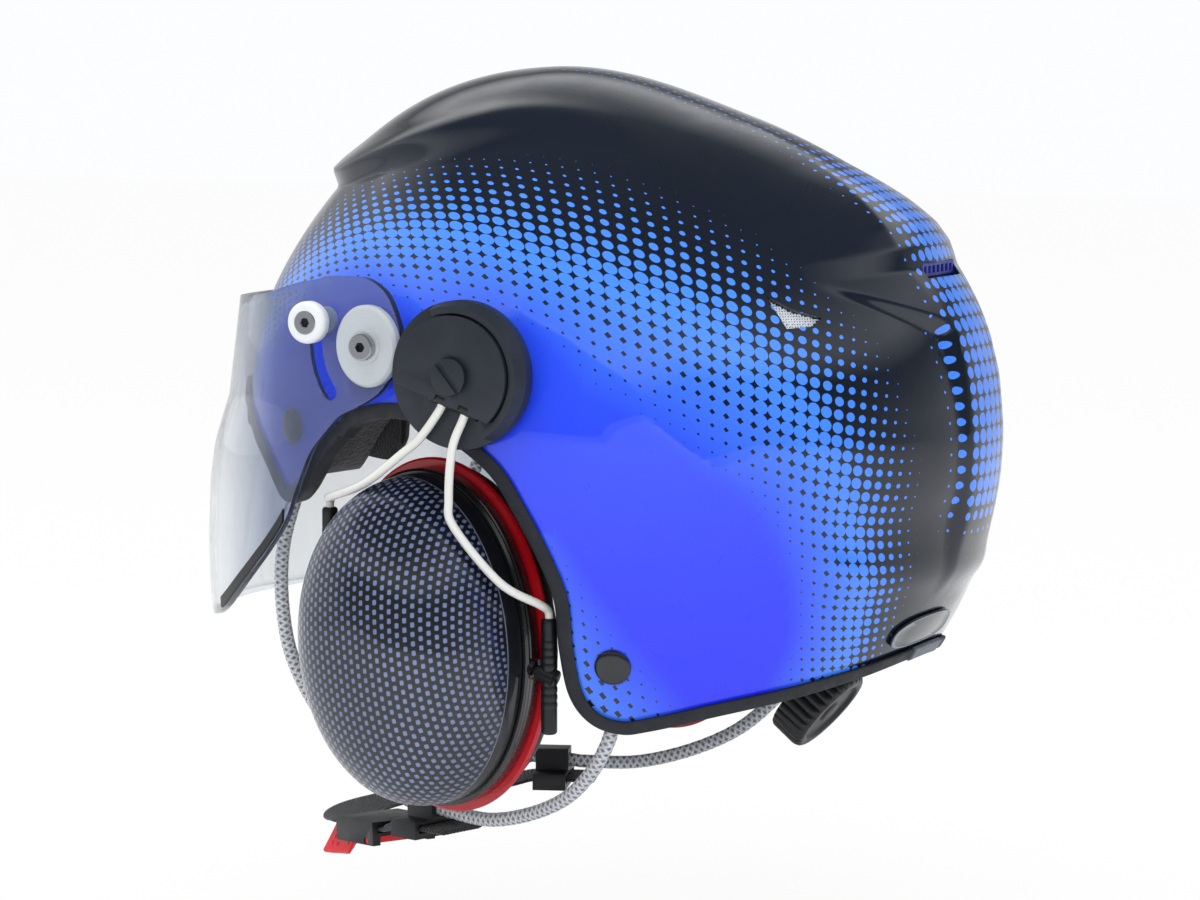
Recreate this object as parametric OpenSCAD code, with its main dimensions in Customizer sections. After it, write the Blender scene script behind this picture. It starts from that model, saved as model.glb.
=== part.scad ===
// Open-face air sports helmet with a pivoting clear visor, two flip-up ear
// muffs, a chin strap hung from two cord loops and a nape adjuster.
// Millimetres. +Z is up, the wearer looks along -Y, the wearer's left is +X.
// The origin is the middle of the head cavity, level with the brow.

/* [Shell] */
// Outside length of the shell, front to back
shell_len = 269; // [255:1:285]
// Outside width of the shell
shell_w = 216; // [206:1:230]
// Rise of the crown above the widest level
crown_rise = 114; // [106:1:122]
// Depth to which the sides would close below the widest level
side_drop = 190; // [175:5:220]
// Depth to which the back would close below the widest level
back_drop = 128; // [122:1:150]
// Wall of the shell
shell_wall = 3.5; // [3:0.5:5]
// Height of the raised hood over the forehead
hood_h = 4.2; // [2:0.2:6]
// Half width of the hood
hood_w = 57; // [48:1:62]
// Height of the ridge down the back
spine_h = 8.2; // [4:0.2:10]
// Height of the crease along each side
crease_h = 1.5; // [0.5:0.1:2.5]

/* [Liner and pads] */
// Thickness of the foam liner
liner_t = 22; // [16:1:26]
// Gap between the shell and the liner
liner_gap = 0.8; // [0.6:0.1:1.4]
// Thickness of the comfort pads
pad_t = 8; // [5:1:11]
// Gap between a pad and the liner
pad_gap = 1.4; // [1.2:0.1:2.2]

/* [Edge trim] */
// Thickness of the rubber channel round the rim
trim_t = 1.3; // [1:0.1:1.5]
// How far the channel reaches up the shell
trim_up = 3; // [2:0.2:5]
// How far the channel stands below the rim
trim_down = 2.2; // [1.5:0.1:3]
// Half length of the joint sleeve at the back
sleeve_half = 13; // [9:1:20]

/* [Vents and badge] */
// Length of the mesh window on each side
mesh_l = 19; // [14:1:24]
// Height of the mesh window
mesh_h = 10; // [7:1:13]
// Length of the size badge
badge_l = 35; // [24:1:38]
// Height of the size badge
badge_h = 11; // [8:1:13]

/* [Visor] */
// Thickness of the lens
lens_t = 2.2; // [1.8:0.1:3]
// Height of the visor pivot above the origin
pivot_z = 25; // [22:1:28]
// Distance of the visor pivot behind the front of the shell
pivot_inset = 92.5; // [90:0.5:95]
// Gap between the front of the shell and the lens, at the top edge
lens_top_gap = 0.5; // [0.2:0.1:7]
// Gap between the front of the shell and the lens, at its fullest
lens_full_gap = 16; // [12:0.5:22]
// Drop of the lens below the origin at the front
lens_drop = 76; // [60:1:84]
// Height of the lens top edge above the origin at the front
lens_top = 35; // [32:1:38]
// Lean of the pivot plates away from the side plane, degrees
plate_lean = 15; // [10:1:17]
// Diameter of the pivot cover disc
disc_d = 27; // [22:0.5:28]
// Thickness of the pivot cover disc
disc_t = 3; // [2.4:0.2:4]
// Diameter of the pivot screw
pivot_screw_d = 5; // [4:0.5:6]
// Diameter of the guide knob
knob_d = 14; // [12:0.5:15]
// Distance of the guide knob from the pivot
knob_r = 24; // [23.5:0.5:26]
// Opening angle of the visor, degrees
visor_open = 55; // [40:1:56]

/* [Ear muff mount] */
// Diameter of the mount base
mount_d = 48; // [44:1:50]
// Diameter of the pedestal under the base
pedestal_d = 34; // [30:1:34]
// Diameter of the turning plate
rotor_d = 39; // [36:1:40]
// Distance of the plate's flat edge from its centre
flat_off = 9.2; // [8.5:0.1:11]
// Turn of the flat edge, degrees
yoke_turn = 20; // [16:1:24]
// Diameter of the slotted screw
mount_screw_d = 12; // [10:0.5:13]

/* [Ear cup] */
// Width of the cup cover
cup_w = 72; // [66:1:76]
// Height of the cup cover
cup_h = 109; // [100:1:114]
// Depth of the cup cover
cup_depth = 47; // [38:1:50]
// Wall of the cup cover
cup_wall = 2.6; // [2:0.2:3.6]
// Depth of the gloss ring behind the cover
cup_base_t = 8; // [6:0.5:9]
// Thickness of the red cushion plate
ring_t = 2.4; // [1.8:0.2:3]
// Thickness of the ear cushion
cushion_t = 12; // [9:0.5:13]
// Diameter of the yoke wire
wire_d = 3; // [2.5:0.1:3.4]
// Width of the wire sleeves
sleeve_w = 5; // [4.6:0.2:6]
// Length of the wire sleeves
sleeve_l = 38; // [34:1:42]

/* [Chin strap] */
// Diameter of the strap cord
cord_d = 4.8; // [4:0.2:5.5]
// Width of the chin webbing
strap_w = 20; // [15:1:22]
// Thickness of the chin webbing
strap_t = 1.8; // [1.4:0.2:2.4]
// Diameter of the strap rivet caps
rivet_d = 12; // [10:0.5:14]

/* [Nape adjuster] */
// Diameter of the adjuster dial
dial_d = 33; // [28:1:36]
// Thickness of the adjuster dial
dial_t = 13; // [10:1:16]
// Height of the nape band
band_h = 14; // [10:1:18]
// Thickness of the nape band
band_t = 2.6; // [2:0.2:3.4]

/* [Hidden] */

// Smooth step from 0 at a to 1 at b
function ss(a, b, v) =
    let (k = min(1, max(0, (v - a) / (b - a)))) k * k * (3 - 2 * k);
function clamp(v, lo, hi) = min(hi, max(lo, v));
function unit(v) = v / norm(v);
function mix(a, b, k) = a + (b - a) * k;

// The shell's form. A direction is the bearing t, 0 at the front and 90 at
// the left ear, and the height angle q, 0 at the widest level, 90 at the crown.
half_l = shell_len / 2;
half_w = shell_w / 2;
level_z = -4;
level_slope = 0.05;
crown_back = 12;
brow_flat = 0.075;
nape_flat = 0.02;

function level_at(y) = level_z - level_slope * y;
function rise(t, q) =
    q > 0 ? crown_rise
          : side_drop + (back_drop - side_drop) * pow(max(0, -cos(t)), 2);
function centre_y(q) = -crown_back * pow(max(0, sin(q)), 2);
function flatten(t, q) =
    1 - brow_flat * max(0, cos(t)) * pow(sin(2 * max(0, q)), 2)
      - nape_flat * max(0, -cos(t));

function base_p(t, q, off = 0) =
    let (y = centre_y(q) - (half_l + off) * flatten(t, q) * cos(q) * cos(t))
    [(half_w + off) * cos(q) * sin(t), y, level_at(y) + (rise(t, q) + off) * sin(q)];

function base_n(t, q) =
    let (p = base_p(t, q))
    unit([p.x / pow(half_w, 2), (p.y - centre_y(q)) / pow(half_l, 2),
          (p.z - level_at(p.y)) / pow(rise(t, q), 2)]);

// Raised hood over the forehead, with a sharp lip at its front
hood_front = 101;
hood_side = 45;
function hood_half(y) =
    y > -hood_side
        ? hood_w - 11 * ss(-hood_side, 25, y)
        : hood_w * pow(max(0, 1 - pow((-hood_side - y) / 55, 2.6)), 1 / 2.6);
function hood(p) =
    let (d = min(hood_half(p.y) - abs(p.x), p.y + hood_front),
         reach = 12 - 10.6 * ss(-30, -75, p.y),
         top = hood_h + 1.4 * exp(-pow(max(0, d) / 7, 2)))
    (d > 0 ? top : (hood_h + 1.4) * (1 - ss(0, 1, -d / reach)))
        * (1 - ss(-25, 38, p.y)) * ss(40, 60, p.z);

// Ridge down the back: its height and half width at each level, with a flat
// facet beside it down to a line that climbs away from the ridge's lowest point
SPINE_H = [[-60, 0], [-40, 0.24], [0, 0.37], [27, 0.67], [46, 0.63], [52, 0.93],
           [58, 1], [66, 0.83], [80, 0.39], [98, 0.04]];
SPINE_W = [[27, 14], [46, 22], [52, 23], [58, 22], [66, 19], [80, 12], [98, 6]];
function spine(p) =
    let (h = spine_h * lookup(p.z, SPINE_H), w = lookup(p.z, SPINE_W), x = abs(p.x),
         above = ss(-1.5, 2.5, p.z - 27 - (x - 14) * 0.43),
         ramp = pow(clamp(1 - (x - w) / 34, 0, 1), 1.15),
         edge = 1 - ss(0, 5, x - w))
    h * ss(20, 45, p.y) * (x < w ? 1 : mix(edge, ramp, above));

// Crease from the ear down to the back of the cheek
CREASE_Z = [[9, 38], [27, 29], [44, 17], [55, 6], [78, -20], [93, -36], [104, -47], [115, -57]];
CREASE_A = [[9, 0.9], [27, 1], [55, 0.8], [78, 0.4], [93, 0.8], [104, 1], [115, 0]];
function crease(p) =
    crease_h * lookup(p.y, CREASE_A) * ss(2, 12, p.y)
        * pow(max(0, 1 - abs(p.z - lookup(p.y, CREASE_Z)) * 0.75 / 16), 1.6);

// Rounded lip across the back above the rim, with a shallow scoop over it
function collar(p) =
    let (s = p.z + 50)
    ss(85, 118, p.y) * (1.6 * exp(-pow(s / 6, 2))
        - 1.8 * exp(-pow((s - 17) / 9, 2)) * ss(13, 17, abs(p.x)));

function shell_p(t, q) =
    let (p = base_p(t, q)) p + base_n(t, q) * (hood(p) + spine(p) + crease(p) + collar(p));

// The rim from the brow to the back: bearing and height
RIM = [[0, 5], [12, 5], [22, 4], [30, -2.5], [38, -11.5], [44, -20.5], [49, -29],
       [54, -25], [60.5, -11.5], [67, -0.5], [75, 3.5], [83, -0.7], [91, -12.5],
       [95.3, -27], [98.8, -42.5], [100.9, -55.5], [101.4, -72], [102.6, -87],
       [105.5, -95.3], [110, -98.5], [115, -97.2], [126.7, -92.2], [141.8, -87.2],
       [153.2, -83.8], [167.7, -80.3], [180, -79]];
rim_n = len(RIM) - 1;
around = 4 * rim_n;

function rim_key(i) = i < 0 ? [-RIM[-i][0], RIM[-i][1]]
    : i > rim_n ? [360 - RIM[2 * rim_n - i][0], RIM[2 * rim_n - i][1]] : RIM[i];
// Point of the rim at place s, in steps of RIM, on a Catmull-Rom curve
function rim_at(s) =
    let (i = floor(s), f = s - i, a = rim_key(i - 1), b = rim_key(i),
         c = rim_key(i + 1), d = rim_key(i + 2))
    0.5 * (2 * b + (c - a) * f + (2 * a - 5 * b + 4 * c - d) * f * f
        + (3 * b - a - 3 * c + d) * f * f * f);
// Height angle at which the form passes height z at bearing t
function q_at(t, z, q = 0, n = 6) =
    n == 0 ? q
           : q_at(t, z, asin(clamp((z - level_at(base_p(t, q).y)) / rise(t, z - level_z), -1, 1)),
                  n - 1);
RIM_TQ = [for (k = [0:around - 1])
    let (s = k / 2, half = s <= rim_n, r = rim_at(half ? s : 2 * rim_n - s), q = q_at(r[0], r[1]))
    [half ? r[0] : 360 - r[0], q]];

function rim_p(k) = let (d = RIM_TQ[(k + around) % around]) base_p(d[0], d[1]);
// Bearing and height angle of a point near the form
function tq_of(p, t, n = 5) =
    let (q = asin(clamp((p.z - level_at(p.y)) / rise(t, p.z - level_at(p.y)), -1, 1)),
         a = atan2(p.x / half_w, (centre_y(q) - p.y) / (half_l * flatten(t, q))))
    n == 0 ? [t, q] : tq_of(p, a < t - 180 ? a + 360 : a, n - 1);
// Ring a short way in from the rim, square to it
rim_inset = trim_up + 3;
INSET = [for (k = [0:around - 1])
    let (d = RIM_TQ[k], n = base_n(d[0], d[1]), w = unit(rim_p(k + 1) - rim_p(k - 1)))
    tq_of(rim_p(k) + rim_inset * cross(n, w), d[0])];

// Grid direction above rim place k, at share h of the way to the crown; a
// share below zero is the rim itself
function dir_at(k, h) = h < 0 ? RIM_TQ[k]
    : [mix(INSET[k][0], 360 * k / around, ss(0, 0.55, h)), mix(INSET[k][1], 90, h)];

// Solid through a stack of rings, closed by a point at each end
module loft(rings, first, last) {
    n = len(rings[0]);
    m = len(rings);
    points = concat([first], [for (r = rings) each r], [last]);
    polyhedron(points, concat(
        [for (i = [0:n - 1]) [0, 1 + (i + 1) % n, 1 + i]],
        [for (j = [0:m - 2], i = [0:n - 1])
            let (a = 1 + j * n + i, b = 1 + j * n + (i + 1) % n) each [[a, b, b + n], [a, b + n, a + n]]],
        [for (i = [0:n - 1]) [1 + (m - 1) * n + i, 1 + (m - 1) * n + (i + 1) % n, 1 + m * n]]));
}

// Place on the plain form that has the given y and z: bearing and height angle
function side_tq(y, z, n = 8, t = 90) =
    let (q = asin(clamp((z - level_at(y)) / rise(t, z - level_at(y)), -1, 1)),
         c = (centre_y(q) - y) / (half_l * flatten(t, q) * cos(q)))
    n == 0 ? [t, q] : side_tq(y, z, n - 1, acos(clamp(c, -1, 1)));
function side_p(y, z, off = 0) = let (d = side_tq(y, z)) base_p(d[0], d[1], off);

// Axes whose Z leaves the form at right angles
module on_form(d) {
    n = base_n(d[0], d[1]);
    translate(base_p(d[0], d[1])) rotate([0, acos(n.z), atan2(n.y, n.x)]) children();
}

module both() {
    children();
    mirror([1, 0, 0]) children();
}

module on_side(s) {
    if (s > 0) children();
    else mirror([1, 0, 0]) children();
}

// Round bar along X
module bar(x0, x1, y, z, r) {
    translate([x0, y, z]) rotate([0, 90, 0]) cylinder(h = x1 - x0, r = r, $fn = 48);
}

// Solid swept through rings that run anticlockwise about the way of travel
module skin(rings) {
    n = len(rings[0]);
    m = len(rings);
    polyhedron([for (r = rings) each r], concat(
        [[for (i = [0:n - 1]) i]],
        [for (j = [0:m - 2], i = [0:n - 1])
            let (a = j * n + i, b = j * n + (i + 1) % n) each [[a, a + n, b + n], [a, b + n, b]]],
        [[for (i = [n - 1:-1:0]) (m - 1) * n + i]]));
}

// Rings of one outline carried along a path; up steadies the outline's Y
function way(path, i) = unit(path[min(len(path) - 1, i + 1)] - path[max(0, i - 1)]);
function carried(path, outline, up) = [for (i = [0:len(path) - 1])
    let (w = way(path, i), a = unit(cross(up, w)), b = cross(w, a))
    [for (o = outline) path[i] + o.x * a + o.y * b]];

// Smooth path through route points, with a straight run at each end
function knot(p, i) = i < 0 ? 2 * p[0] - p[1] : i > len(p) - 1 ? 2 * p[len(p) - 1] - p[len(p) - 2] : p[i];
function smooth(p, per) = concat([for (i = [0:len(p) - 2], k = [0:per - 1])
    let (f = k / per, a = knot(p, i - 1), b = p[i], c = p[i + 1], d = knot(p, i + 2))
    0.5 * (2 * b + (c - a) * f + (2 * a - 5 * b + 4 * c - d) * f * f
        + (3 * b - a - 3 * c + d) * f * f * f)], [p[len(p) - 1]]);
function disc_outline(r, n) = [for (i = [0:n - 1]) [r * cos(360 * i / n), r * sin(360 * i / n)]];
function oval(a, b, n) = [for (i = [0:n - 1]) [a * cos(360 * i / n), b * sin(360 * i / n)]];
// Flat webbing outline with eased edges
function webbing(w, t) = [[w / 2, -t / 4], [w / 2, t / 4], [w / 2 - t / 2, t / 2], [t / 2 - w / 2, t / 2],
                          [-w / 2, t / 4], [-w / 2, -t / 4], [t / 2 - w / 2, -t / 2],
                          [w / 2 - t / 2, -t / 2]];

// Free soft parts keep their share of the shell's width and length
wide_k = half_w / 108;
long_k = half_l / 134.5;
function fitted(p) = [p.x * wide_k, p.y * long_k, p.z];

// Stations of the visor and of the muff mount, tied to the shell's side
pivot_y = pivot_inset - half_l;
pivot_x = side_p(pivot_y, pivot_z).x;
knob_turn = 163;
knob_y = pivot_y + knob_r * cos(knob_turn);
knob_z = pivot_z + knob_r * sin(knob_turn);
knob_x = side_p(knob_y, knob_z).x;
disc_to_mount = -0.5;
mount_y = pivot_y + (disc_d + mount_d) / 2 + disc_to_mount;
mount_z = 17.5;
mount_x = side_p(mount_y, mount_z).x;
base_x = mount_x + 5.2;
base_t = 4.8;
rotor_x = base_x + base_t + 0.2;
rotor_t = 6;
fit = 0.05;
clear = 0.1;

boss_r = 7;
nut_r = 4.5;
stem_r = 3;
rivet_shank_r = 2.5;
knob_shank_r = 2.5;
front_rivet = side_tq(-81.9 * long_k, -4.5);
rear_rivet = side_tq(39.4 * long_k, -77.1);
anchor_depth = shell_wall + 4.6;
anchor_r = 7;
ferrule_r = 4;

// Centre of an anchor, the point its cord makes for, and where the cord starts
function anchor_p(d) = base_p(d[0], d[1]) - anchor_depth * base_n(d[0], d[1]);
FRONT_AIM = fitted([70.2, -87.6, -24]);
REAR_AIM = fitted([80.9, 33.6, -98]);
ferrule_l = 12;
function ferrule_end(d, aim) = anchor_p(d) + ferrule_l * unit(aim - anchor_p(d));

module along(from, to) {
    v = to - from;
    translate(from) rotate([0, acos(v.z / norm(v)), atan2(v.y, v.x)]) children();
}

OUTER_ROWS = 19;
OUTER_H = [for (j = [OUTER_ROWS - 1:-1:-1]) j / OUTER_ROWS];
INNER_H = [-1, 0, 0.08, 0.18, 0.3, 0.43, 0.58, 0.74, 0.89];
inner_last = len(INNER_H) - 1;

module shell_solid() {
    outer = [for (h = OUTER_H)
        [for (k = [0:around - 1]) let (d = dir_at(k, h)) shell_p(d[0], d[1])]];
    inner = [for (h = INNER_H)
        [for (k = [0:around - 1]) let (d = dir_at(k, h)) base_p(d[0], d[1], -shell_wall)]];
    loft(concat(outer, inner), shell_p(0, 90), base_p(0, 90, -shell_wall));
}

// Five-sided window of the side vent, in axes that leave the form
VENT = [139, 22.5];
WINDOW = [[-8, -8.6], [-3, 0.1], [-0.4, 9.3], [2.6, 5.3], [3.3, -3.5]];
module window(grow, z0, z1) {
    translate([0, 0, z0]) linear_extrude(z1 - z0) offset(delta = grow)
        polygon([for (p = WINDOW) [p.x * mesh_h / 10, p.y * mesh_l / 19]]);
}
module vent_axes() {
    on_form(VENT) children();
}

// Slot under the peak of the back ridge
slot_z = 46;
slot_h = 5;
slot_half = 15;
module rear_slot(grow) {
    translate([-slot_half - grow, 88, slot_z - grow])
        cube([2 * (slot_half + grow), 60, slot_h + 2 * grow]);
}

module outer_shell() {
    color("royalblue") difference() {
        shell_solid();
        both() {
            bar(pivot_x - 12, pivot_x + 8, pivot_y, pivot_z, boss_r + clear);
            bar(knob_x - 14, knob_x + 8, knob_y, knob_z, knob_shank_r + clear);
            bar(mount_x - 10, mount_x + 8, mount_y, mount_z, stem_r + clear);
            for (d = [front_rivet, rear_rivet])
                on_form(d) translate([0, 0, -9]) cylinder(h = 14, r = rivet_shank_r + clear, $fn = 48);
            vent_axes() window(0, -9, 12);
        }
        rear_slot(0);
    }
}

module liner_solid() {
    far = -shell_wall - liner_gap;
    near = -shell_wall - liner_t;
    half = around / 2 - 1;
    loft(concat(
        [for (j = [inner_last:-1:1])
            [for (k = [0:half]) let (d = dir_at(2 * k, INNER_H[j])) base_p(d[0], d[1], far)]],
        [for (j = [1:inner_last])
            [for (k = [0:half]) let (d = dir_at(2 * k, INNER_H[j])) base_p(d[0], d[1], near)]]),
        base_p(0, 90, far), base_p(0, 90, near));
}

module eps_liner() {
    color("dimgray") difference() {
        liner_solid();
        both() {
            bar(pivot_x - 13, pivot_x + 8, pivot_y, pivot_z, 12);
            bar(knob_x - 14, knob_x + 8, knob_y, knob_z, 7);
            bar(mount_x - 14, mount_x + 8, mount_y, mount_z, 10);
            for (d = [[front_rivet, FRONT_AIM], [rear_rivet, REAR_AIM]]) {
                on_form(d[0]) translate([0, 0, -shell_wall - 10]) cylinder(h = 20, r = anchor_r + 2, $fn = 48);
                along(anchor_p(d[0]), d[1]) cylinder(h = 60, r = ferrule_r + 2, $fn = 48);
            }
        }
    }
}

// Comfort pads on the liner, drawn in at every edge
pad_far = -shell_wall - liner_t - pad_gap;
function swell(u, n, least) = max(least, pow(max(0, 1 - pow(abs(u), n)), 1 / 2));
module form_pad(t0, t1, q0, q1, cols, rows) {
    skin([for (i = [0:cols])
        let (u = 2 * i / cols - 1, t = mix(t0, t1, i / cols), f = swell(u, 4, 0.3),
             qm = (q0 + q1) / 2, qh = (q1 - q0) / 2 * swell(u, 6, 0.6))
        concat(
            [for (j = [0:rows]) base_p(t, qm - qh * (2 * j / rows - 1), pad_far)],
            [for (j = [rows:-1:0]) let (v = 2 * j / rows - 1)
                base_p(t, qm - qh * v * 0.94, pad_far - pad_t * f * swell(v, 4, 0.3))])]);
}

module brow_pad() {
    color("black") form_pad(-40, 40, 9, 25, 14, 5);
}

module crown_pad() {
    ring = 28;
    far_q = [80, 72, 64];
    near_q = [65, 72, 80];
    drop = [0.6, 1, 1];
    color("black") loft(concat(
        [for (q = far_q) [for (i = [0:ring - 1]) base_p(360 * i / ring, q, pad_far)]],
        [for (j = [0:2]) [for (i = [0:ring - 1])
            base_p(360 * i / ring, near_q[j], pad_far - pad_t * drop[j])]]),
        base_p(0, 90, pad_far), base_p(0, 90, pad_far - pad_t));
}

module cheek_pad(s) {
    on_side(s) color("black") form_pad(42, 63, -5.5, 6, 8, 5);
}

// Rubber channel pressed over the rim, open at the back where a sleeve joins it
function rim_dir(s) = let (r = rim_at(s > rim_n ? 2 * rim_n - s : s))
    [s > rim_n ? 360 - r[0] : r[0], q_at(r[0], r[1])];
sleeve_s = 0.05 * sleeve_half;
module channel(places, grow) {
    w = shell_wall / 2;
    g = w + 0.35;
    o = g + trim_t + grow;
    outline = [[o, -trim_down - grow], [-o, -trim_down - grow], [-o, trim_up], [-g, trim_up],
               [-g, -0.8], [g, -0.8], [g, trim_up], [o, trim_up]];
    p = [for (s = places) let (d = rim_dir((s + 2 * rim_n) % (2 * rim_n))) base_p(d[0], d[1], -w)];
    skin([for (i = [0:len(p) - 1])
        let (d = rim_dir((places[i] + 2 * rim_n) % (2 * rim_n)), w1 = way(p, i), n0 = base_n(d[0], d[1]),
             n = unit(n0 - (n0 * w1) * w1), m = cross(n, w1))
        [for (c = outline) p[i] + c.x * n + c.y * m]]);
}

module edge_trim() {
    last = rim_n - sleeve_s;
    full = ceil(2 * last) - 1;
    color("black") channel(concat([-last], [for (k = [-full:full]) k / 2], [last]), 0);
}

module trim_sleeve() {
    first = rim_n - sleeve_s + 0.03;
    color("slategray") channel([first, rim_n - 0.33, rim_n, rim_n + 0.33, 2 * rim_n - first], 0.5);
}

module size_badge() {
    t0 = 180 - asin((badge_l - 4) / (half_w * 0.886));
    t1 = 180 + asin(4 / (half_w * 0.886));
    q0 = -27.6;
    dq = badge_h / 4.4;
    cols = 8;
    color("lightgray") skin([for (i = [0:cols]) let (t = mix(t0, t1, i / cols)) concat(
        [for (q = [q0 - dq, q0, q0 + dq]) base_p(t, q, 0.5)],
        [for (q = [q0 + dq, q0, q0 - dq]) base_p(t, q, 1.5)])]);
}

module side_vent_meshes() {
    bar_w = 1;
    both() vent_axes() color("black") difference() {
        window(-0.15, -shell_wall + 0.4, -shell_wall + 1.8);
        for (a = [-2:3], b = [-3:3])
            translate([a * 3 - 2 + (b % 2 == 0 ? 0 : 1.5), b * 2.7, -5])
                cylinder(h = 9, r = 1.5 - bar_w / 4, $fn = 6);
    }
}

module rear_vent_grille() {
    color("midnightblue") translate([0, 0, slot_z + 0.1]) {
        difference() {
            translate([-slot_half + 0.1, half_l - 22.5, 0]) cube([2 * slot_half - 0.2, 3, slot_h - 0.2]);
            for (x = [-12:4:12])
                translate([x - 1.2, half_l - 35, 1.2]) cube([2.4, 30, slot_h - 2.6]);
        }
    }
}

module strap_rivets() {
    both() for (d = [front_rivet, rear_rivet]) on_form(d) color("silver") {
        translate([0, 0, 0.1]) cylinder(h = 1.1, r = rivet_d / 2, $fn = 48);
        translate([0, 0, 1.2]) cylinder(h = 0.9, r1 = rivet_d / 2, r2 = rivet_d / 2 - 1.4, $fn = 48);
        translate([0, 0, -shell_wall - 6]) cylinder(h = shell_wall + 6.2, r = rivet_shank_r, $fn = 48);
    }
}

module cord_anchors() {
    both() for (d = [[front_rivet, FRONT_AIM], [rear_rivet, REAR_AIM]]) color("dimgray") difference() {
        union() {
            on_form(d[0]) translate([0, 0, -shell_wall - 7.6]) cylinder(h = 5.9, r = anchor_r, $fn = 48);
            along(anchor_p(d[0]), d[1]) cylinder(h = ferrule_l, r = ferrule_r, $fn = 48);
        }
        on_form(d[0]) translate([0, 0, -shell_wall - 6.1]) cylinder(h = 12, r = rivet_shank_r + fit, $fn = 48);
    }
}

// The lens. Columns run from the rear of a pivot plate to the middle of the
// face: an angle round the front or a y on the plate, then top and bottom edge
plate_x = pivot_x + 7;
lens_half = pivot_x + 3.4;
lens_top_reach = pivot_inset + lens_top_gap;
lens_reach = pivot_inset + lens_full_gap;
lens_share = [[-75, 0.9], [-67, 0.97], [-50, 1.01], [-28, 0.94], [-15, 0.79], [2, 0.35], [35, 0], [47, -0.15]];
PLATE_COLS = [[12.4, 31, 25], [10, 37, 18.5], [7, 42, 13.5], [3, 45, 9.5], [-2, 47, 6.5], [-8, 47.3, 3.8],
              [-14, 47.2, 1], [-19, 47, -3.5]];
FRONT_COLS = [[75, 45.8, -12], [72, 45, -24], [69, 44.2, -36], [64, 42.3, -46.5], [60, 40.7, -53],
              [55, 39.4, -60], [50, 38.4, -66], [45, 37.6, -70.5], [38, 36.8, -74], [30, 36.1, -75],
              [20, 35.5, -75.6], [10, 35.1, -75.9], [0, 35, -76]];
LENS_COLS = concat([for (c = PLATE_COLS) concat([0], c)], [for (c = FRONT_COLS) concat([1], c)]);
function lens_reach_at(z) = mix(lens_top_reach, lens_reach, lookup(z, lens_share));
function lens_p(c, z) =
    c[0] == 0 ? [plate_x + tan(plate_lean) * c[1], pivot_y + c[1], z]
              : [lens_half * sin(c[1]), pivot_y - lens_reach_at(z) * cos(c[1]), z];
function lens_n(c, z) =
    c[0] == 0 ? [cos(plate_lean), -sin(plate_lean), 0]
              : unit([lens_reach_at(z) * sin(c[1]), -lens_half * cos(c[1]), 0]);
function lens_z(c, v) =
    let (top = c[2] > 35.05 || c[0] == 0 ? c[2] + (lens_top - 35) : lens_top,
         low = c[3] < -60 ? c[3] * lens_drop / 76 : c[3])
    mix(low, top, v);
function flip_x(p) = [-p.x, p.y, p.z];
function lens_edge(c, s, v, off) =
    let (z = lens_z(c, v), p = lens_p(c, z) + off * lens_n(c, z)) s > 0 ? p : flip_x(p);
function lens_ring(c, s, v0, v1, rows, far, near) = concat(
    [for (j = [rows:-1:0]) lens_edge(c, s, mix(v0, v1, j / rows), far)],
    [for (j = [0:rows]) lens_edge(c, s, mix(v0, v1, j / rows), near)]);
lens_last = len(LENS_COLS) - 1;

module lens_sheet() {
    skin(concat([for (i = [0:lens_last]) lens_ring(LENS_COLS[i], 1, 0, 1, 6, -lens_t, 0)],
                [for (i = [lens_last - 1:-1:0]) lens_ring(LENS_COLS[i], -1, 0, 1, 6, -lens_t, 0)]));
}

module pivot_axes() {
    translate([0, pivot_y, pivot_z]) children();
}

neck_r = 4;
slot_w = 5.8;
slot_spare = 4;
module visor_lens() {
    color("lightsteelblue", 0.4) difference() {
        lens_sheet();
        both() {
            bar(plate_x - 12, plate_x + 12, pivot_y, pivot_z, neck_r + clear);
            translate([plate_x - 25, 0, 0]) pivot_axes() rotate([0, 90, 0]) {
                rotate(90 + knob_turn) rotate_extrude(angle = visor_open + slot_spare, $fn = 96)
                    translate([knob_r - slot_w / 2, 0]) square([slot_w, 40]);
                for (a = [0, visor_open + slot_spare]) rotate(90 + knob_turn + a) translate([knob_r, 0, 0])
                    cylinder(h = 40, r = slot_w / 2, $fn = 48);
            }
        }
    }
}

// Dark strip on the outside of the lens, along its lower rear edge
module visor_edge_strips() {
    strip = [for (i = [10:15]) LENS_COLS[i]];
    both() color("black") skin([for (c = strip)
        let (v = 4.5 / (lens_z(c, 1) - lens_z(c, 0))) lens_ring(c, 1, 0.004, v, 1, 0.05, 0.9)]);
}

module visor_pivot_bosses() {
    both() color("dimgray") difference() {
        union() {
            bar(pivot_x - 9.1, pivot_x + 1.9, pivot_y, pivot_z, boss_r);
            bar(pivot_x - 11.4, pivot_x - 9, pivot_y, pivot_z, boss_r + 3);
        }
        bar(pivot_x - 20, pivot_x + 20, pivot_y, pivot_z, pivot_screw_d / 2 + fit);
    }
}

disc_end = plate_x + 4.8;
module visor_pivot_discs() {
    both() color("gainsboro") difference() {
        union() {
            translate([plate_x, pivot_y, pivot_z]) rotate([0, 90, -plate_lean]) {
                translate([0, 0, 0.05]) cylinder(h = disc_t - 1, r = disc_d / 2, $fn = 72);
                translate([0, 0, disc_t - 0.95]) cylinder(h = 1, r1 = disc_d / 2, r2 = disc_d / 2 - 1, $fn = 72);
            }
            bar(pivot_x + 2, plate_x + 2, pivot_y, pivot_z, neck_r);
            bar(plate_x + 1.5, disc_end, pivot_y, pivot_z, neck_r + 1.6);
        }
        bar(pivot_x - 20, plate_x + 20, pivot_y, pivot_z, pivot_screw_d / 2 + fit);
    }
}

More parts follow.
